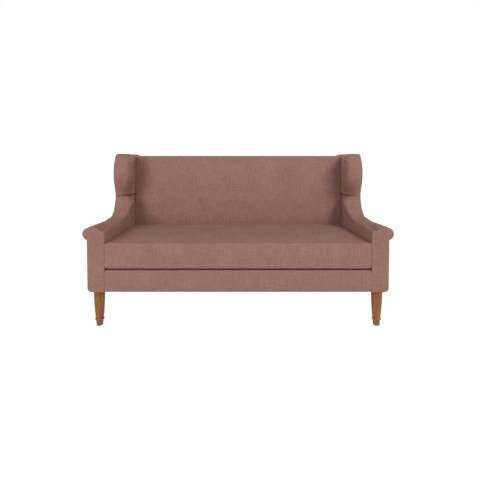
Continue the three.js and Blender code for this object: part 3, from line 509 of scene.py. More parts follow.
def upholstered_board(name, outline, levels, place, spacing, crown=None, under=None):
    """A closed piece from an outline: rings moved in and up by levels, both ends filled evenly.
    crown and under lift the filled ends by the distance from their edge."""
    count = len(outline)
    rings = [shrunk(outline, inset) for inset, _ in levels]
    points = [place(ring, np.full(count, depth)) for ring, (_, depth) in zip(rings, levels)]
    faces, cloth, around = between_rings(count, len(levels)), [], distances_round(outline)
    climb = [0.0]
    for (inset, depth), (inset_before, depth_before) in zip(levels[1:], levels):
        inwards = float(np.mean(inset) - np.mean(inset_before))
        climb.append(climb[-1] + math.hypot(inwards, depth - depth_before))
    for r in range(len(levels) - 1):
        for i in range(count):
            s0, s1 = around[i], around[i + 1]
            cloth += [(s0, climb[r]), (s1, climb[r]), (s1, climb[r + 1]), (s0, climb[r + 1])]
    used = count * len(levels)
    for end, lift in ((0, under), (len(levels) - 1, crown)):
        fill, triangles = filled(rings[end], spacing)
        inner = fill[count:]
        depth = np.full(len(inner), levels[end][1])
        if lift is not None and len(inner):
            depth = depth + lift(inner, to_outline(inner, rings[end])[0])
        points.append(place(inner, depth))
        for triangle in triangles:
            faces.append(tuple(k + end * count if k < count else k - count + used for k in triangle))
            cloth += [tuple(fill[k]) for k in triangle]
        used += len(inner)
    return make_piece(name, np.vstack(points), faces, cloth)


needled_felt, tree, shader = new_finish("needled_felt")
lie = add_node(tree, "ShaderNodeTexCoord").outputs["Object"]
hairs = {"Vector": lie, "Scale": 260.0, "Detail": 6.0, "Roughness": 0.75}
fibres = add_node(tree, "ShaderNodeTexNoise", hairs).outputs["Fac"]
clumps = add_node(tree, "ShaderNodeTexNoise", {"Vector": lie, "Scale": 38.0, "Detail": 3.0}).outputs["Fac"]
mixed = add_node(tree, "ShaderNodeMath", {0: fibres, 1: clumps}, operation="MULTIPLY").outputs[0]
greys = [(0.14, "#8f887d"), (0.26, "#b9b1a4"), (0.4, "#cdc6ba")]
grey = add_node(tree, "ShaderNodeValToRGB", {"Fac": mixed}, greys).outputs[0]
bump = add_node(tree, "ShaderNodeBump", {"Height": fibres, "Strength": 0.5, "Distance": 0.0012})
set_inputs(tree, shader, {"Base Color": grey, "Roughness": 0.98, "Normal": bump.outputs[0]})

low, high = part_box("seat_deck")
spring_xs = [sum(corner.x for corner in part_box(f"seat_spring_{i}")) / 2 for i in range(1, 9)]


def over_springs(points, from_edge):
    """Sag of the felt between the springs."""
    near = np.min([np.abs(points[:, 0] - x) for x in spring_xs], axis=0)
    between = np.clip((near - 0.02) / 0.07, 0, 1)
    return -0.0035 * between**2 * np.clip(from_edge / 0.05, 0, 1)


deck_outline = divided([(low.x, low.y), (high.x, low.y), (high.x, high.y), (low.x, high.y)], 0.02)
deck = upholstered_board(
    "seat_deck_felt",
    deck_outline,
    [(0.0, low.z), (0.0, high.z - 0.003), (0.001, high.z - 0.001), (0.003, high.z)],
    lambda plan, z: np.column_stack([plan, z]),
    0.02,
    crown=over_springs,
)
finished(deck, needled_felt, "settee_body", "deck_felt", "seat_deck")

# Arms: foam and wadding over the arm rail, rolled outwards to a scroll along the top, under
# one cover of woven cloth that is drawn over the roll and tacked below it.


def woven_cloth():
    """Plain woven upholstery cloth in a pink brown wool blend, matt with a soft bloom.
    Threads are about 1 mm, and are drawn 2.2 mm so that they show; slubs are 2 to 70 mm long."""
    finish, tree, shader = new_finish("plain_woven_wool_blend")
    lie = add_node(tree, "ShaderNodeUVMap", uv_map="cloth").outputs[0]
    parts, waves, thread = add_node(tree, "ShaderNodeSeparateXYZ", {0: lie}).outputs, [], 0.0022
    for axis in (0, 1):
        turn = add_node(tree, "ShaderNodeMath", {0: parts[axis], 1: math.pi / thread}, operation="MULTIPLY")
        waves.append(add_node(tree, "ShaderNodeMath", {0: turn.outputs[0]}, operation="SINE").outputs[0])
    weave = add_node(tree, "ShaderNodeMath", {0: waves[0], 1: waves[1]}, operation="MULTIPLY").outputs[0]
    yarn = 0.0
    for scale, share in (((190.0, 14.0, 1.0), 1.0), ((14.0, 190.0, 1.0), 0.8), ((430.0, 430.0, 1.0), 0.7)):
        drawn = add_node(tree, "ShaderNodeMapping", {"Vector": lie, "Scale": scale}).outputs[0]
        slub = add_node(tree, "ShaderNodeTexNoise", {"Vector": drawn, "Scale": 1.0, "Detail": 2.0})
        slubs = {0: slub.outputs["Fac"], 1: share, 2: yarn}
        yarn = add_node(tree, "ShaderNodeMath", slubs, operation="MULTIPLY_ADD").outputs[0]
    clouds = {"Vector": lie, "Scale": 7.0, "Detail": 2.0}
    cloudy = add_node(tree, "ShaderNodeTexNoise", clouds).outputs["Fac"]
    clouded = {0: cloudy, 1: 0.5, 2: yarn}
    shade = add_node(tree, "ShaderNodeMath", clouded, operation="MULTIPLY_ADD").outputs[0]
    spread = add_node(tree, "ShaderNodeMapRange", {"Value": shade, "From Min": 1.15, "From Max": 1.85})
    dyes = [(0.0, "#8c665b"), (1.0, "#a47c70")]
    dyed = add_node(tree, "ShaderNodeValToRGB", {"Fac": spread.outputs[0]}, dyes).outputs[0]
    raised = {0: weave, 1: 0.3, 2: yarn}
    height = add_node(tree, "ShaderNodeMath", raised, operation="MULTIPLY_ADD").outputs[0]
    bump = add_node(tree, "ShaderNodeBump", {"Height": height, "Strength": 0.4, "Distance": 0.0012})
    matt = {"Roughness": 0.92, "Specular IOR Level": 0.25}
    bloom = {"Sheen Weight": 0.06, "Sheen Roughness": 0.4, "Sheen Tint": linear("#d9b8ac")}
    set_inputs(tree, shader, {"Base Color": dyed, "Normal": bump.outputs[0], **matt, **bloom})
    return finish


rose_cloth = woven_cloth()


def upholster(piece, node, body="settee_body"):
    """Covers a stuffed piece with the cloth."""
    finished(piece, rose_cloth, body, "rose_cloth", node)


# The side outline of arm and wing, as depth behind the front facing and height
front_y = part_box("left_arm_facing")[0].y
inner_x, outer_x, seat_depth, rake = 0.730, 0.824, 0.560, math.radians(6.7)
arm_top, seat_height, roll_x, roll_z, roll_radius = 0.565, 0.480, 0.813, 0.530, 0.035
waist, wing_high = (0.443, 0.690), (0.500, 0.975)


def back_depth(z, t):
    """Depth of a plane of the back that lies t behind the inside back's face."""
    return seat_depth + (z - seat_height) * math.tan(rake) + t / math.cos(rake)


def bent(p0, p1, p2, p3, steps):
    """A cubic curve through the plane."""
    t = np.linspace(0, 1, steps + 1)[:, None]
    p0, p1, p2, p3 = (np.array(p, float) for p in (p0, p1, p2, p3))
    return (1 - t) ** 3 * p0 + 3 * (1 - t) ** 2 * t * p1 + 3 * (1 - t) * t**2 * p2 + t**3 * p3


arm_sweep = bent((0.318, arm_top), (0.388, arm_top), (0.443, 0.625), waist, 24)
wing_belly = bent(waist, (0.443, 0.74075), (0.411, 0.78425), (0.411, 0.835), 20)
wing_crown = bent((0.411, 0.835), (0.411, 0.9106), (0.45016, 0.975), wing_high, 20)
side_line = np.vstack(
    [[(0.0, arm_top)], arm_sweep, wing_belly[1:], wing_crown[1:], [(back_depth(0.975, 0.150), 0.975)]]
)


def along_side(points):
    """For places in side view: how far along the side outline, how far inside it, and the way out."""
    best, reach, out = np.full(len(points), 1e9), np.zeros(len(points)), np.zeros((len(points), 2))
    run = 0.0
    for a, b in zip(side_line, side_line[1:]):
        edge = b - a
        length = np.linalg.norm(edge)
        share = np.clip(((points - a) @ edge) / length**2, 0, 1)
        away = np.linalg.norm(points - a - share[:, None] * edge, axis=1)
        nearer = away < best
        best, reach = np.where(nearer, away, best), np.where(nearer, run + share * length, reach)
        out[nearer] = (-edge[1] / length, edge[0] / length)
        run += length
    return reach, best, out


def places(piece):
    """A piece's points as an array."""
    co = np.empty(len(piece.data.vertices) * 3)
    piece.data.vertices.foreach_get("co", co)
    return co.reshape(-1, 3)


def move_to(piece, co):
    """Moves a piece's points."""
    piece.data.vertices.foreach_set("co", co.ravel())
    piece.data.update()


def skin_of(node, name, voxel, rubs):
    """A fine even skin over a CAD pad's solid, with its edges rubbed soft."""
    mesh = nodes[node].data.copy()
    body = bmesh.new()
    body.from_mesh(mesh)
    bmesh.ops.remove_doubles(body, verts=body.verts, dist=1e-5)
    body.to_mesh(mesh)
    body.free()
    piece = linked(name, mesh)
    skin = piece.modifiers.new("skin", "REMESH")
    skin.mode, skin.voxel_size = "VOXEL", voxel
    soft = piece.modifiers.new("soft", "SMOOTH")
    soft.factor, soft.iterations = 0.5, rubs
    graph = bpy.context.evaluated_depsgraph_get()
    mesh = bpy.data.meshes.new_from_object(piece.evaluated_get(graph))
    piece.modifiers.clear()
    piece.data = smoothed(mesh)
    return piece


def swell(piece, give, pressure, cap, moments=20):
    """Cloth under pressure from its stuffing. give is 0 where the cloth is sewn or tacked down
    and 1 where it is free, and cap is the furthest that a point may move."""
    start = places(piece)
    held = piece.vertex_groups.new(name="held")
    for strength in (0.25, 0.5, 0.75, 1.0):
        chosen = np.nonzero((1 - give > strength - 0.25) & (1 - give <= strength))[0]
        held.add([int(i) for i in chosen], strength, "REPLACE")
    cloth = piece.modifiers.new("cloth", "CLOTH")
    fabric = dict(mass=0.3, tension_stiffness=25, compression_stiffness=25, bending_stiffness=1.5)
    pressed = dict(use_pressure=True, uniform_pressure_force=pressure, vertex_group_mass="held", quality=4)
    for setting, value in {**fabric, **pressed}.items():
        setattr(cloth.settings, setting, value)
    cloth.settings.effector_weights.gravity = 0
    cloth.collision_settings.use_collision = False
    cloth.point_cache.frame_start, cloth.point_cache.frame_end = 1, moments
    for moment in range(1, moments + 1):
        bpy.context.scene.frame_set(moment)
    graph = bpy.context.evaluated_depsgraph_get()
    swollen = piece.evaluated_get(graph).to_mesh()
    co = np.empty(len(start) * 3)
    swollen.vertices.foreach_get("co", co)
    moved = co.reshape(-1, 3) - start
    piece.evaluated_get(graph).to_mesh_clear()
    piece.modifiers.remove(cloth)
    piece.vertex_groups.clear()
    bpy.context.scene.frame_set(1)
    length = np.linalg.norm(moved, axis=1)
    moved *= (np.minimum(length, cap) / np.maximum(length, 1e-9) * give)[:, None]
    move_to(piece, start + moved)


def ease(value, start, end):
    """0 before start, 1 after end, and smooth between."""
    share = np.clip((value - start) / (end - start), 0, 1)
    return share * share * (3 - 2 * share)


def lay_cloth(piece, uv):
    """Gives a piece the cloth's own coordinates, in metres, point by point."""
    mesh = piece.data
    while mesh.uv_layers:
        mesh.uv_layers.remove(mesh.uv_layers[0])
    corner = np.empty(len(mesh.loops), np.int32)
    mesh.loops.foreach_get("vertex_index", corner)
    mesh.uv_layers.new(name="cloth").data.foreach_set("uv", uv[corner].ravel())


def side_cloth(piece):
    """Cloth drawn over arm or wing: across it and along its side outline."""
    co = places(piece)
    x = np.abs(co[:, 0])
    reach, inside, _ = along_side(np.column_stack([co[:, 1] - front_y, co[:, 2]]))
    across = x - inner_x + np.where(x < (inner_x + outer_x) / 2, -inside, inside)
    round_roll = (x > roll_x) & (co[:, 2] < arm_top + 0.004) & (x > outer_x - 0.002)
    angle = np.arctan2(x - roll_x, co[:, 2] - roll_z)
    across = np.where(round_roll, roll_x - inner_x + roll_radius * angle, across)
    flat = (x < inner_x + 0.008) & (inside > 0.04)
    along = np.where(flat, co[:, 1] - front_y, reach)
    lay_cloth(piece, np.column_stack([along, np.where(flat, co[:, 2], across)]))


def rolled(from_edge, fullness):
    """How far the rim of arm or crown has dropped, at a distance from its inner edge."""
    share = np.clip(1 - from_edge / 0.060, 0, 1)
    return 0.023 * (1 - (1 - share**fullness) ** (1 / fullness))


def shouldered(from_edge, corner):
    """The same drop at the facing: a low shoulder with a round corner, then the rise to the roll."""
    corner_share = np.clip(1 - from_edge / corner, 0, 1)
    return 0.0205 * (1 - ease(from_edge, 0.016, 0.044)) + 0.8 * corner * (1 - np.sqrt(1 - corner_share**2))


def before_back(depth, z):
    """How far a point lies in front of the inside back's face."""
    return seat_depth + (z - seat_height) * math.tan(rake) - depth


def drawn_in(co):
    """The covers of arm and wing meet at the waist without a gap, and are drawn in there, deepest
    at the inside. Away from it their stuffing stands proud of the inner face."""
    x, depth, z = np.abs(co[:, 0]), co[:, 1] - front_y, co[:, 2]
    _, inside, out = along_side(np.column_stack([depth, z]))
    away, above = np.abs(z - waist[1]), z > waist[1]
    level = np.where(above, waist[1] + 0.0001, waist[1] - 0.0001)
    flatter = (1 - ease(away, 0.003, 0.008)) * ease(x, inner_x + 0.010, inner_x + 0.018)
    fold = np.clip(1 - away / np.where(above, 0.110, 0.040), 0, 1) ** 1.5
    deep = fold * (0.028 - 0.0225 * ease(x, inner_x + 0.012, outer_x - 0.016))
    falls = np.where(above, 0.018 * (1 - ease(z, 0.90, 0.96)), 0.014 * ease(z, 0.57, 0.66))
    deep += falls * np.clip(1 - (x - inner_x) / 0.078, 0, 1) ** 2
    taken_in = 0.130 - 0.096 * ease(x, inner_x + 0.020, inner_x + 0.055)
    co[:, 1:] -= out * (deep * np.clip((taken_in - inside) / (taken_in - 0.016), 0, 1))[:, None]
    co[:, 2] += (level - co[:, 2]) * flatter * (np.abs(co[:, 2] - waist[1]) < 0.010)
    proud = np.where(above, 0.015, 0.018 + 0.008 * ease(z, 0.61, 0.67)) * (1 - fold) - 0.020 * fold
    proud *= ease(z, 0.53, 0.63) * (1 - ease(z, 0.93, 0.972)) * (1 - ease(x, inner_x, inner_x + 0.055))
    co[:, 0] -= np.sign(co[:, 0]) * proud * ease(before_back(depth, z), 0.006, 0.100)


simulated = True
skin_voxel, stuffing_pressure, swell_cap = 0.005, 3.0, 0.004
for side in sides:
    arm = skin_of(side + "_arm_padding", side + "_arm_cover", skin_voxel, 4)
    co = places(arm)
    x, depth, z = np.abs(co[:, 0]), co[:, 1] - front_y, co[:, 2]
    reach, inside, out = along_side(np.column_stack([depth, z]))
    crown = rolled(x - inner_x, 2.0)
    upper = ease(z, arm_top + 0.03, waist[1] - 0.02)
    rounder = rolled(x - inner_x, 2.8) * (1 - upper) + rolled(x - inner_x, 3.0) * upper
    at_facing = 1 - ease(depth, 0.015, 0.20)
    rounder = rounder * (1 - at_facing) + shouldered(x - inner_x, 0.012) * at_facing
    share = np.maximum(1 - ease(reach, 0.30, 0.42), upper)
    fuller = (crown - rounder) * share * (inside < crown + 0.006) * (x < inner_x + 0.060)
    co[:, 1:] += out * fuller[:, None]
    co[:, 2] -= 0.006 * ease(depth, 0.03, 0.27) * (1 - ease(depth, 0.30, 0.37)) * ease(z, 0.49, 0.55)
    drawn_in(co)
    move_to(arm, co)
    outside = (x < inner_x + 0.012) | ((inside < 0.012) & (x < outer_x))
    give = outside * ease(depth, 0.010, 0.06) * ease(z, 0.36, 0.47)
    give = give * ease(before_back(depth, z), 0.004, 0.05) * ease(waist[1] - z, 0.006, 0.05)
    if simulated:
        swell(arm, give, stuffing_pressure, swell_cap)
    side_cloth(arm)
    upholster(arm, side + "_arm_padding")

# Wings: thick wadding over the edge of a shaped board, under their own cover, which is sewn
# to the arm's cover along the crease at the waist.
for side in sides:
    wing = skin_of(side + "_wing_padding", side + "_wing_cover", skin_voxel, 3)
    co = places(wing)
    x, depth, z = np.abs(co[:, 0]), co[:, 1] - front_y, co[:, 2]
    inside = along_side(np.column_stack([depth, z]))[1]
    outer_top = ease(x, outer_x - 0.034, outer_x - 0.009) * ease(z, 0.940, 0.965)
    co[:, 0] += np.sign(co[:, 0]) * np.minimum(0.005 * outer_top, np.maximum(outer_x - 0.0003 - x, 0))
    co[:, 2] += np.minimum(0.003 * outer_top, np.maximum(wing_high[1] - z, 0))
    drawn_in(co)
    move_to(wing, co)
    outside = (x < inner_x + 0.012) | ((inside < 0.012) & (x < outer_x - 0.004))
    give = outside * ease(z - waist[1], 0.006, 0.05) * ease(before_back(depth, z), 0.004, 0.05)
    if simulated:
        swell(wing, give, stuffing_pressure, swell_cap)
    side_cloth(wing)
    upholster(wing, side + "_wing_padding")

# Inside back: one plain cover over a crowned foam pad, pulled through between the wings,
# turned over the top rail and tacked at the rear.


def swept_cover(name, rings, run):
    """A closed piece from rings of equally many points. run is each ring's place along the piece."""
    count, cloth, around = len(rings[0]), [], [distances_round(ring) for ring in rings]
    for r in range(len(rings) - 1):
        for i in range(count):
            cloth += [(run[k], around[k][j]) for k, j in ((r, i), (r, i + 1), (r + 1, i + 1), (r + 1, i))]
    cloth += [(p[1], p[2]) for end in (rings[0], rings[-1]) for p in end]
    return make_piece(name, np.vstack(rings), closed_tube(count, len(rings)), cloth)


def from_side_to_side(half, end_steps, inset, count):
    """Places along X, closer together at both ends."""
    between = np.linspace(inset - half, half - inset, count)
    return np.concatenate([end_steps - half, between, half - end_steps[::-1]])


def on_back(x, z, t):
    """The point that lies t behind the inside back's face."""
    return (x, front_y + back_depth(z, t), z)


def seat_tuck(z):
    """How far the cushion presses the inside back in, deepest at the cushion's top edge."""
    return 0.013 * np.clip(1 - np.maximum((z - seat_height) / 0.090, (seat_height - z) / 0.075), 0, 1) ** 2


low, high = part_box("inside_back")
back_x, back_top, back_round, pad_rear, frame_depth = high.x, high.z, 0.020, 0.0638, 0.1443
under_top = back_top - 0.018
heights = np.linspace(low.z, back_top - back_round, 66)
rise = np.clip((heights - seat_height) / (back_top - back_round - seat_height), 0, 1)
stations = from_side_to_side(back_x, np.array([0, 0.0012, 0.003, 0.006, 0.010, 0.016]), 0.026, 120)
rings = []
for x in stations:
    from_side = back_x - abs(x)
    tucked = 0.002 * (1 - math.sqrt(1 - (1 - min(1.0, from_side / 0.006)) ** 2))
    turned = 0.011 * max(0.0, 1 - from_side / 0.110) ** 2
    crown = 0.007 * np.sin(math.pi * rise) * ease(from_side, 0, 0.12)
    crown -= seat_tuck(heights) + turned * (1 - ease(heights, 0.90, 0.955))
    ring = [on_back(x, z, tucked - fullness) for z, fullness in zip(heights, crown)]
    for angle in np.linspace(0, math.pi / 2, 9)[1:]:
        z = back_top - back_round * (1 - math.sin(angle)) - tucked * math.sin(angle) * 0.7
        ring.append(on_back(x, z, tucked + (back_round - tucked) * (1 - math.cos(angle))))
    top = ring[-1][2]
    ring += [on_back(x, top, t) for t in np.linspace(0.032, frame_depth - 0.004, 10)]
    ring += [on_back(x, top - 0.0012, frame_depth - 0.0012), on_back(x, top - 0.004, frame_depth)]
    ring.append(on_back(x, under_top, frame_depth))
    ring += [on_back(x, under_top, t) for t in np.linspace(frame_depth - 0.01, pad_rear, 8)]
    ring += [on_back(x, z, pad_rear) for z in np.linspace(under_top - 0.02, low.z, 30)]
    ring += [on_back(x, low.z, t) for t in np.linspace(pad_rear - 0.012, 0.018, 5)]
    rings.append(np.array(ring))
inside_back = swept_cover("inside_back_cover", rings, stations)
co = places(inside_back)
outside = co[:, 1] - front_y < back_depth(co[:, 2], 0.03)
give = outside * ease(back_x - np.abs(co[:, 0]), 0.004, 0.09) * ease(co[:, 2], 0.47, 0.56)
give *= ease(back_top - co[:, 2], 0.003, 0.06)
if simulated:
    swell(inside_back, give, 2.5, 0.006)
upholster(inside_back, "inside_back")

# Front border: the same cloth over thin wadding on the front rail, turned under the rail
# at the bottom and carried back over the spring ends, where the felt deck is sewn to it.
low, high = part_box("front_border")
return_depth, border_pad, top_round, foot_round, under_border = 0.045, 0.0117, 0.009, 0.012, 0.3239
frame_foot, border_depth = low.z + 0.0027, high.y - front_y
profile = [(return_depth, low.z)]
profile += [(d, low.z) for d in np.linspace(0.036, foot_round + 0.004, 4)]
profile += arc(foot_round, low.z + foot_round, foot_round, -math.pi / 2, -math.pi, 9)
profile += [(0.0, z) for z in np.linspace(low.z + foot_round + 0.008, high.z - top_round - 0.008, 14)]
profile += arc(top_round, high.z - top_round, top_round, math.pi, math.pi / 2, 9)
profile += [(d, high.z) for d in np.linspace(top_round + 0.008, border_depth - 0.002, 6)]
profile += [(border_depth, high.z - 0.002), (border_depth, under_border)]
profile += [(d, under_border) for d in np.linspace(0.05, border_pad, 5)]
profile += [(border_pad, z) for z in np.linspace(0.31, frame_foot, 10)]
profile += [(d, frame_foot) for d in np.linspace(0.02, return_depth, 4)]
depths, heights = np.array(profile).T
stations = from_side_to_side(high.x, np.array([0, 0.0015, 0.004, 0.007, 0.011]), 0.018, 148)
rings = []
for x in stations:
    from_end = high.x - abs(x)
    fullness = 0.0016 * np.sin(math.pi * (heights - low.z) / (high.z - low.z)) * ease(from_end, 0, 0.10)
    lowered = 0.007 * max(0.0, 1 - from_end / 0.011) ** 2 * ease(heights, high.z - 0.03, high.z - 0.004)
    lowered *= 1 - ease(depths, 0.008, 0.0117)
    out_to = front_y + depths - np.where(depths > 0.002, 0, fullness) + 0.0002
    rings.append(np.column_stack([np.full(len(depths), x), out_to, heights - lowered]))
upholster(swept_cover("front_border_cover", rings, stations), "front_border")

# Front facings: a scroll-shaped board with thin wadding and a cloth face, pinned on last to
# cover the tacked edges of arm and side.
foot_wide, foot_tall = 0.030, 0.0205
for side, sign in sides.items():
    low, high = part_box(side + "_arm_facing")
    outline = [(inner_x, low.z)]
    outline += arc(outer_x - foot_wide, low.z + foot_tall, foot_wide, -math.pi / 2, 0, 10, foot_tall)
    start, over_top = -math.acos((outer_x - roll_x) / roll_radius), 0.060 * np.linspace(1, 0, 30) ** 1.6
    outline += arc(roll_x, roll_z, roll_radius, start, math.pi / 2, 30)
    outline += [(inner_x + u, arm_top - float(shouldered(u, 0.006))) for u in over_top]
    outline = divided(outline, 0.006)
    at_inner_edge = outline[:, 0] < inner_x + 1e-4
    rim = np.where(at_inner_edge, np.where(outline[:, 1] < 0.325, 0.0003, 0.0012), 0.0028)
    quarter = np.linspace(0, math.pi / 2, 6)
    round_over = [(rim * (1 - math.cos(a)), 0.0048 + 0.0032 * math.sin(a)) for a in quarter]
    facing = upholstered_board(
        side + "_facing_cover",
        outline,
        [(0.0, 0.0), (0.0, 0.004)] + round_over,
        lambda plan, t: np.column_stack([sign * plan[:, 0], front_y + 0.008 - t, plan[:, 1]]),
        0.007,
        crown=lambda plan, away: 0.0008 * ease(away, 0, 0.035),
    )
    upholster(facing, side + "_arm_facing")

# Outside wing panels: cloth over card, slip stitched round the edge inside the wing's rim
# and along the top of the arm's roll.


def panel_levels(thickness, rim):
    """Rings of a thin board with a soft front edge."""
    quarter = np.linspace(0, math.pi / 2, 5)[1:]
    round_over = [(rim * (1 - math.cos(a)), thickness - rim + rim * math.sin(a)) for a in quarter]
    return [(0.0, 0.0), (0.0, thickness - rim)] + round_over


def cut_below(outline, height, apart):
    """The part of an outline above a height, with its points this far apart or further."""
    kept = []
    for here, there in zip(outline, np.roll(outline, -1, axis=0)):
        found = [here] if here[1] >= height else []
        if (here[1] >= height) != (there[1] >= height):
            share = (height - here[1]) / (there[1] - here[1])
            found.append(here + (there - here) * share)
        for point in found:
            if not kept or math.dist(point, kept[-1]) > apart:
                kept.append(tuple(point))
    return kept


panel_inset, panel_thickness, wing_panel_foot, below_panel = 0.0233, 0.0044, arm_top + 0.0006, 0.4
rear_line = [(0.0, below_panel), (back_depth(below_panel, frame_depth), below_panel)]
top_corner = [(back_depth(wing_high[1], frame_depth), wing_high[1])]
panel_line = np.vstack([top_corner, side_line[-2::-1], rear_line])
panel_line = shrunk(panel_line, np.append(np.full(len(side_line) - 1, panel_inset), np.zeros(3)))
wing_panel_outline = divided(cut_below(panel_line, wing_panel_foot, 0.0015), 0.012)
for side, sign in sides.items():
    panel = upholstered_board(
        side + "_outside_wing_cover",
        wing_panel_outline,
        panel_levels(panel_thickness, 0.0018),
        lambda plan, t: np.column_stack(
            [sign * (outer_x - panel_thickness + t), front_y + plan[:, 0], plan[:, 1]]
        ),
        0.012,
        crown=lambda plan, away: 0.0012 * ease(away, 0, 0.05),
    )
    upholster(panel, side + "_outside_wing_panel")

# Outside arm panels: cloth over card, held by a tack strip under the roll, drawn down and
# turned round the foot of the side rail.
foot_round, panel_start, panel_run = 0.020, 0.0083, 0.68
for side, sign in sides.items():
    low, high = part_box(side + "_outside_arm_panel")
    profile = [(outer_x - 0.0012, high.z)]
    profile += [(outer_x, z) for z in np.linspace(high.z - 0.0012, low.z + foot_tall, 22)]
    profile += arc(outer_x - foot_wide, low.z + foot_tall, foot_wide, 0, -math.pi / 2, 10, foot_tall)[1:]
    inner_round = foot_round - panel_thickness
    profile += arc(outer_x - foot_round, low.z + foot_round, inner_round, -math.pi / 2, 0, 10)
    profile += [(outer_x - panel_thickness, z) for z in np.linspace(low.z + foot_round + 0.01, high.z, 12)]
    x, z = np.array(profile).T
    on_face = (x > outer_x - 0.0001) & (z < high.z - 0.001)
    start, end = front_y + panel_start, front_y + back_depth(z, frame_depth)
    rings, shares = [], np.concatenate([[0, 0.006, 0.02], np.linspace(0.05, 1, 40)])
    for share in shares:
        taut = 0.0010 * ease(min(share, 1 - share) * 0.7, 0, 0.05) * ease(high.z - z, 0, 0.05) * on_face
        rings.append(np.column_stack([sign * (x + taut), start + (end - start) * share, z]))
    panel = swept_cover(side + "_outside_arm_cover", rings, shares * panel_run)
    upholster(panel, side + "_outside_arm_panel")

# Outside back: one wide cloth panel over card, blind tacked along the top, slip stitched
# down both sides and stapled under the back rail.
low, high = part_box("outside_back")
panel_depth, back_thickness, top_corner = 0.1446, 0.150, 0.022
back_outline = rounded_outline((-high.x, low.z), (high.x, high.z), (foot_round, top_corner), 9)
back_outline = divided(back_outline, 0.014)
outside_back = upholstered_board(
    "outside_back_cover",
    back_outline,
    panel_levels(back_thickness - panel_depth, 0.0022),
    lambda plan, t: np.column_stack(on_back(plan[:, 0], plan[:, 1], panel_depth + t)),
    0.014,
    crown=lambda plan, away: 0.0022 * ease(away, 0, 0.11),
)
upholster(outside_back, "outside_back")

# Slip stitches: waxed linen thread, dyed to the cloth, a short stitch every 11 mm round the
# outside wing panels and down the sides of the outside back.
along_edge, given, line = new_tree(
    "fasteners_along_an_edge", Pitch=0.011, Length=0.006, Rise=0.0008, Thickness=0.0004, Slant=0.0
)
spaced = add_node(
    along_edge, "GeometryNodeResampleCurve", {"Curve": line, "Length": given["Pitch"]}, mode="LENGTH"
)
way = add_node(along_edge, "GeometryNodeInputTangent")
outwards = add_node(along_edge, "GeometryNodeInputNamedAttribute", {"Name": "out"}, data_type="FLOAT_VECTOR")
facing_out = add_node(
    along_edge, "FunctionNodeAlignEulerToVector", {"Vector": outwards.outputs["Attribute"]}, axis="Z"
)
along_it = add_node(
    along_edge,
    "FunctionNodeAlignEulerToVector",
    {"Rotation": facing_out.outputs[0], "Vector": way.outputs[0]},
    axis="X",
    pivot_axis="Z",
)
slanted = add_node(
    along_edge,
    "FunctionNodeRotateEuler",
    {"Rotation": along_it.outputs[0], "Axis": (0.0, 0.0, 1.0), "Angle": given["Slant"]},
    rotation_type="AXIS_ANGLE",
    space="LOCAL",
)
stitch_ends = {}
for place, length_share, rise_share in (("Start", -0.5, -1.6), ("Middle", 0.0, 2.6), ("End", 0.5, -1.6)):
    forward, upward = {0: given["Length"], 1: length_share}, {0: given["Rise"], 1: rise_share}
    ahead = add_node(along_edge, "ShaderNodeMath", forward, operation="MULTIPLY")
    up = add_node(along_edge, "ShaderNodeMath", upward, operation="MULTIPLY")
    point = add_node(along_edge, "ShaderNodeCombineXYZ", {"X": ahead.outputs[0], "Z": up.outputs[0]})
    stitch_ends[place] = point.outputs[0]
stitch_line = add_node(along_edge, "GeometryNodeCurveQuadraticBezier", {"Resolution": 4, **stitch_ends})
one = round_wire(along_edge, stitch_line.outputs[0], 5, given["Thickness"])
many = add_node(
    along_edge,
    "GeometryNodeInstanceOnPoints",
    {"Points": spaced.outputs[0], "Instance": one, "Rotation": slanted.outputs[0]},
)
end_tree(along_edge, many.outputs[0], given["Finish"])


def fasten(name, points, out, finish, slot, **sizes):
    """A row of stitches or staples along a line on a surface that faces out."""
    row = made_by(along_edge, name, path_of(points, [out] * len(points)), {**sizes, "Finish": finish})
    finished(row, finish, "settee_body", slot)


# Waxed linen thread: two twisted plies, a little shinier and darker than the cloth.
linen_thread, tree, shader = new_finish("waxed_linen_thread")
place = add_node(tree, "ShaderNodeTexCoord").outputs["Object"]
plies = add_node(tree, "ShaderNodeTexWave", {"Vector": place, "Scale": 300.0}, bands_direction="DIAGONAL")
dyes = [(0.0, "#7a574f"), (1.0, "#94706a")]
twisted = add_node(tree, "ShaderNodeValToRGB", {"Fac": plies.outputs["Fac"]}, dyes).outputs[0]
set_inputs(tree, shader, {"Base Color": twisted, "Roughness": 0.6})
slip_stitch = dict(Pitch=0.011, Length=0.006, Thickness=0.0004, Slant=0.25)
rim = shrunk(wing_panel_outline, 0.0006)
for side, sign in sides.items():
    points = [(sign * (outer_x - 0.0006), front_y + p[0], p[1]) for p in np.vstack([rim, rim[:1]])]
    name, out = side + "_wing_slip_stitches", (sign, 0, 0)
    fasten(name, points, out, linen_thread, "rose_cloth", Rise=0.0008, **slip_stitch)
upright = [p for p in shrunk(back_outline, 0.0012) if low.z + 0.03 < p[1] < high.z - 0.03]
for side, sign in sides.items():
    run = sorted((p for p in upright if p[0] * sign > 0), key=lambda p: p[1])
    points = [on_back(*p, back_thickness - 0.0010) for p in run]
    name, out = side + "_back_slip_stitches", (0, math.cos(rake), -math.sin(rake))
    fasten(name, points, out, linen_thread, "rose_cloth", Rise=0.0006, **slip_stitch)

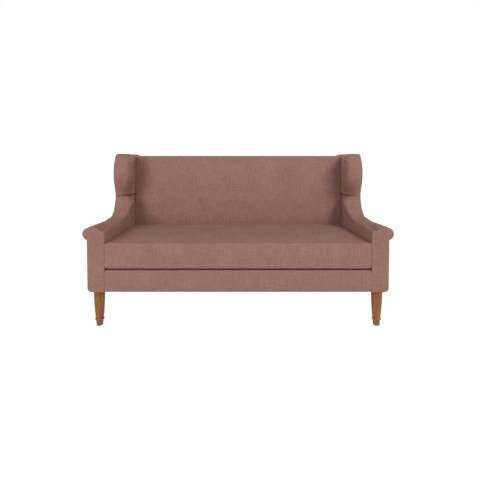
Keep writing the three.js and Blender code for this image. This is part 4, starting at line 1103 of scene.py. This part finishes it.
# Dust cover: thin black spunbond lining under the frame, its edges folded in and stapled
# to the rails, cut back round the legs.
lining, tree, shader = new_finish("black_spunbond_lining")
place = add_node(tree, "ShaderNodeTexCoord").outputs["Object"]
dots = {"Vector": place, "Scale": 330.0, "Randomness": 0.25}
pressed = add_node(tree, "ShaderNodeTexVoronoi", dots).outputs["Distance"]
loose = {"Vector": place, "Scale": 120.0, "Detail": 5.0, "Distortion": 1.5}
strands = add_node(tree, "ShaderNodeTexNoise", loose).outputs["Fac"]
dusty = add_node(tree, "ShaderNodeMath", {0: pressed, 1: strands}, operation="ADD").outputs[0]
black = add_node(tree, "ShaderNodeValToRGB", {"Fac": dusty}, [(0.4, "#1f1d1c"), (1.0, "#3a3735")]).outputs[0]
bump = add_node(tree, "ShaderNodeBump", {"Height": dusty, "Strength": 0.35, "Distance": 0.0006})
set_inputs(tree, shader, {"Base Color": black, "Roughness": 0.9, "Normal": bump.outputs[0]})

low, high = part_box("dust_cover")
leg_low, leg_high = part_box("right_front_leg")
notch_x, notch_front = (leg_low.x + leg_high.x) / 2 - 0.035, (leg_low.y + leg_high.y) / 2 + 0.035
notch_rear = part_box("right_rear_leg")[0].y + rear_top / 2 - 0.029
right_edge = [
    (notch_x, low.y), (notch_x, notch_front), (high.x, notch_front),
    (high.x, notch_rear), (notch_x, notch_rear), (notch_x, high.y),
]
left_edge = [(-x, y) for x, y in reversed(right_edge)]


def hanging(points, away):
    """The lining sags a little towards the middle, away from its edge."""
    return -0.0028 * ease(away, 0.02, 0.25)


cover_edge = divided(left_edge[-1:] + right_edge + left_edge[:-1], 0.02)
dust_cover = upholstered_board(
    "dust_cover_lining",
    cover_edge,
    [(0.0, high.z - 0.0011), (0.0, high.z - 0.0001)],
    lambda plan, z: np.column_stack([plan, z]),
    0.03,
    crown=hanging,
    under=hanging,
)
finished(dust_cover, lining, "settee_body", "black_cambric", "dust_cover")

# Staples: galvanised wire, 12 mm wide, driven through the lining every 45 mm.
staple_wire = bright_steel("galvanised_staple_wire", "#a5a8ab", 0.002, 0.35)
staple_line = shrunk(cover_edge, 0.010)
points = [(x, y, high.z - 0.0011) for x, y in np.vstack([staple_line, staple_line[:1]])]
staple = dict(Pitch=0.045, Length=0.012, Rise=0.0005, Thickness=0.0005, Slant=0.35)
fasten("dust_cover_staples", points, (0, 0, -1), staple_wire, "spring_steel", **staple)

# Seat cushion: a loose bench cushion, foam wrapped in wadding in a boxed cover of the same
# cloth. Plain seams run round its top and bottom edge, and it fills the space between the arms.
low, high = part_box("seat_cushion")
foot, edge_top, crown_height = low.z, seat_height, high.z - seat_height
near, far, half, corner = front_y + 0.0010, front_y + seat_depth - 0.005, inner_x - 0.0005, 0.0022
plan = divided(rounded_outline((-half, near), (half, far), (corner, corner), 6), 0.009)
middle_y, reach_y = (near + far) / 2, (far - near) / 2


def rear_fill(x, z):
    """How far the cushion's rear edge fills the hollow that it presses into the inside back."""
    at_end = np.clip(1 - (half - np.abs(x)) / 0.110, 0, 1) ** 2
    return 0.8 * seat_tuck(z) + 0.008 * at_end * ease(z, seat_height - 0.060, seat_height - 0.010)


def cushion_place(points, z):
    """The rear wall of the cushion leans with the back."""
    rearward = (np.clip((points[:, 1] - middle_y) / reach_y, -1, 1) + 1) / 2
    lean = (z - seat_height) * math.tan(rake) * rearward
    pressed = rear_fill(points[:, 0], z) * ease(rearward, 0.9, 0.99)
    return np.column_stack([points[:, 0], points[:, 1] + lean + pressed, z])


def cushion_crown(points, away):
    """The top is fullest in the middle and falls to its seams."""
    across = 1 - np.clip(np.abs(points[:, 0]) / half, 0, 1) ** 4
    along = 1 - np.clip(np.abs(points[:, 1] - middle_y) / reach_y, 0, 1) ** 2.4
    return (crown_height - 0.003) * across * along


beside_arm = np.minimum(np.abs(plan[:, 0]), np.abs(np.roll(plan[:, 0], -1))) > half - 1e-4
foot_rim, top_drop, top_rim = 0.0045, 0.010, np.where(beside_arm, 0.015, 0.010)
quarter = np.linspace(0, math.pi / 2, 6)
levels = [(foot_rim * 1.1, foot)]
levels += [(foot_rim * (1 - math.sin(a)), foot + foot_rim * (1 - math.cos(a))) for a in quarter[1:]]
levels += [(0.0, z) for z in np.linspace(foot + 0.016, edge_top - 0.018, 14)]
levels += [(top_rim * (1 - math.sin(a)), edge_top - top_drop * (1 - math.cos(a))) for a in quarter[:0:-1]]
levels.append((top_rim * 1.1, edge_top))
cushion = upholstered_board("seat_cushion_cover", plan, levels, cushion_place, 0.010, crown=cushion_crown)
co = places(cushion)
foot_corner = np.clip(1 - (half - np.abs(co[:, 0])) / 0.011, 0, 1) ** 2
foot_corner *= 1 - ease(co[:, 1] - near, 0.01, 0.05)
co[:, 2] += 0.008 * foot_corner * (1 - ease(co[:, 2], foot, foot + 0.03))
move_to(cushion, co)
away = np.maximum(to_outline(co[:, :2], plan)[0] - 0.003, 0)
to_seam = np.minimum(*[np.hypot(co[:, 2] - seam, away) for seam in (edge_top - 0.003, foot + 0.003)])
give = 0.25 + 0.75 * ease(to_seam, 0.003, 0.05)
give *= np.where(co[:, 2] < foot + 0.001, 0.15, 1.0)
if simulated:
    swell(cushion, give, 4.0, 0.008)
    co = places(cushion)
    co[:, 2] = np.maximum(co[:, 2], foot + 0.0002)
    co[:, 0] = np.clip(co[:, 0], -inner_x + 0.0004, inner_x - 0.0004)
    rear = front_y + back_depth(co[:, 2], 0) - 0.0012 + rear_fill(co[:, 0], co[:, 2])
    co[:, 1] = np.minimum(np.maximum(co[:, 1], front_y - 0.004), rear)
    move_to(cushion, co)
upholster(cushion, "seat_cushion", "cushion")

# Studio: a pale floor without edges, a white surround, two soft lights in front and one
# behind. The floor and the surround are white only to the camera.


def seen_directly(tree):
    """1 for what the camera sees, also mirrored or through glass, and 0 for the rest."""
    ray = add_node(tree, "ShaderNodeLightPath").outputs
    either = {0: ray["Is Camera Ray"], 1: ray["Is Glossy Ray"]}
    seen = add_node(tree, "ShaderNodeMath", either, operation="MAXIMUM").outputs[0]
    either = {0: seen, 1: ray["Is Transmission Ray"]}
    return add_node(tree, "ShaderNodeMath", either, operation="MAXIMUM").outputs[0]


floor_mesh = bpy.data.meshes.new("studio_floor")
floor_mesh.from_pydata([(-30, -30, 0), (30, -30, 0), (30, 30, 0), (-30, 30, 0)], [], [(0, 1, 2, 3)])
floor = linked("studio_floor", floor_mesh)
pale, tree, shader = new_finish("studio_floor_paper")
set_inputs(tree, shader, {"Base Color": linear("#e4e4e4"), "Roughness": 0.9})
output = next(n for n in tree.nodes if n.type == "OUTPUT_MATERIAL")
mostly = add_node(tree, "ShaderNodeMath", {0: seen_directly(tree), 1: 0.8}, operation="MULTIPLY")
white = add_node(tree, "ShaderNodeEmission", {"Color": (1, 1, 1, 1), "Strength": 1.21})
both = {0: mostly.outputs[0], 1: shader.outputs[0], 2: white.outputs[0]}
set_inputs(tree, output, {"Surface": add_node(tree, "ShaderNodeMixShader", both).outputs[0]})
floor.data.materials.append(pale)

world = bpy.data.worlds.new("studio_surround")
bpy.context.scene.world = world
world.use_nodes = True
tree = world.node_tree
tree.nodes.clear()
level = add_node(tree, "ShaderNodeMapRange", {"Value": seen_directly(tree), "To Min": 0.30, "To Max": 1.0})
light = {"Color": (1, 1, 1, 1), "Strength": level.outputs[0]}
surround = add_node(tree, "ShaderNodeBackground", light)
add_node(tree, "ShaderNodeOutputWorld", {"Surface": surround.outputs[0]})


def soft_box(name, turn, rise, power):
    """A square soft box 5 m from the settee, at a turn from its front and a rise above the seat."""
    light = bpy.data.lights.new(name, "AREA")
    light.shape, light.size, light.energy = "SQUARE", 2.2, power
    lamp = linked(name, light)
    turn, rise = math.radians(turn), math.radians(rise)
    away = Vector((math.sin(turn) * math.cos(rise), -math.cos(turn) * math.cos(rise), math.sin(rise)))
    lamp.location = Vector((0, 0, 0.5)) + 5 * away
    lamp.rotation_euler = away.to_track_quat("Z", "Y").to_euler()


soft_box("left_soft_box", -40, 17, 90.0)
soft_box("right_soft_box", 42, 33, 109.0)
soft_box("rear_soft_box", 180, 22, 80.0)

camera = bpy.data.cameras.new("photograph_view")
camera.sensor_width, camera.lens = 36.0, 26.76
camera.shift_x, camera.shift_y = 0.0040, -0.1396
viewer = linked("photograph_view", camera)
viewer.location = (0.0, front_y - 1.926, 0.930)
viewer.rotation_euler = (math.radians(88), 0, 0)
bpy.context.scene.camera = viewer
bpy.context.scene.view_settings.view_transform = "Standard"
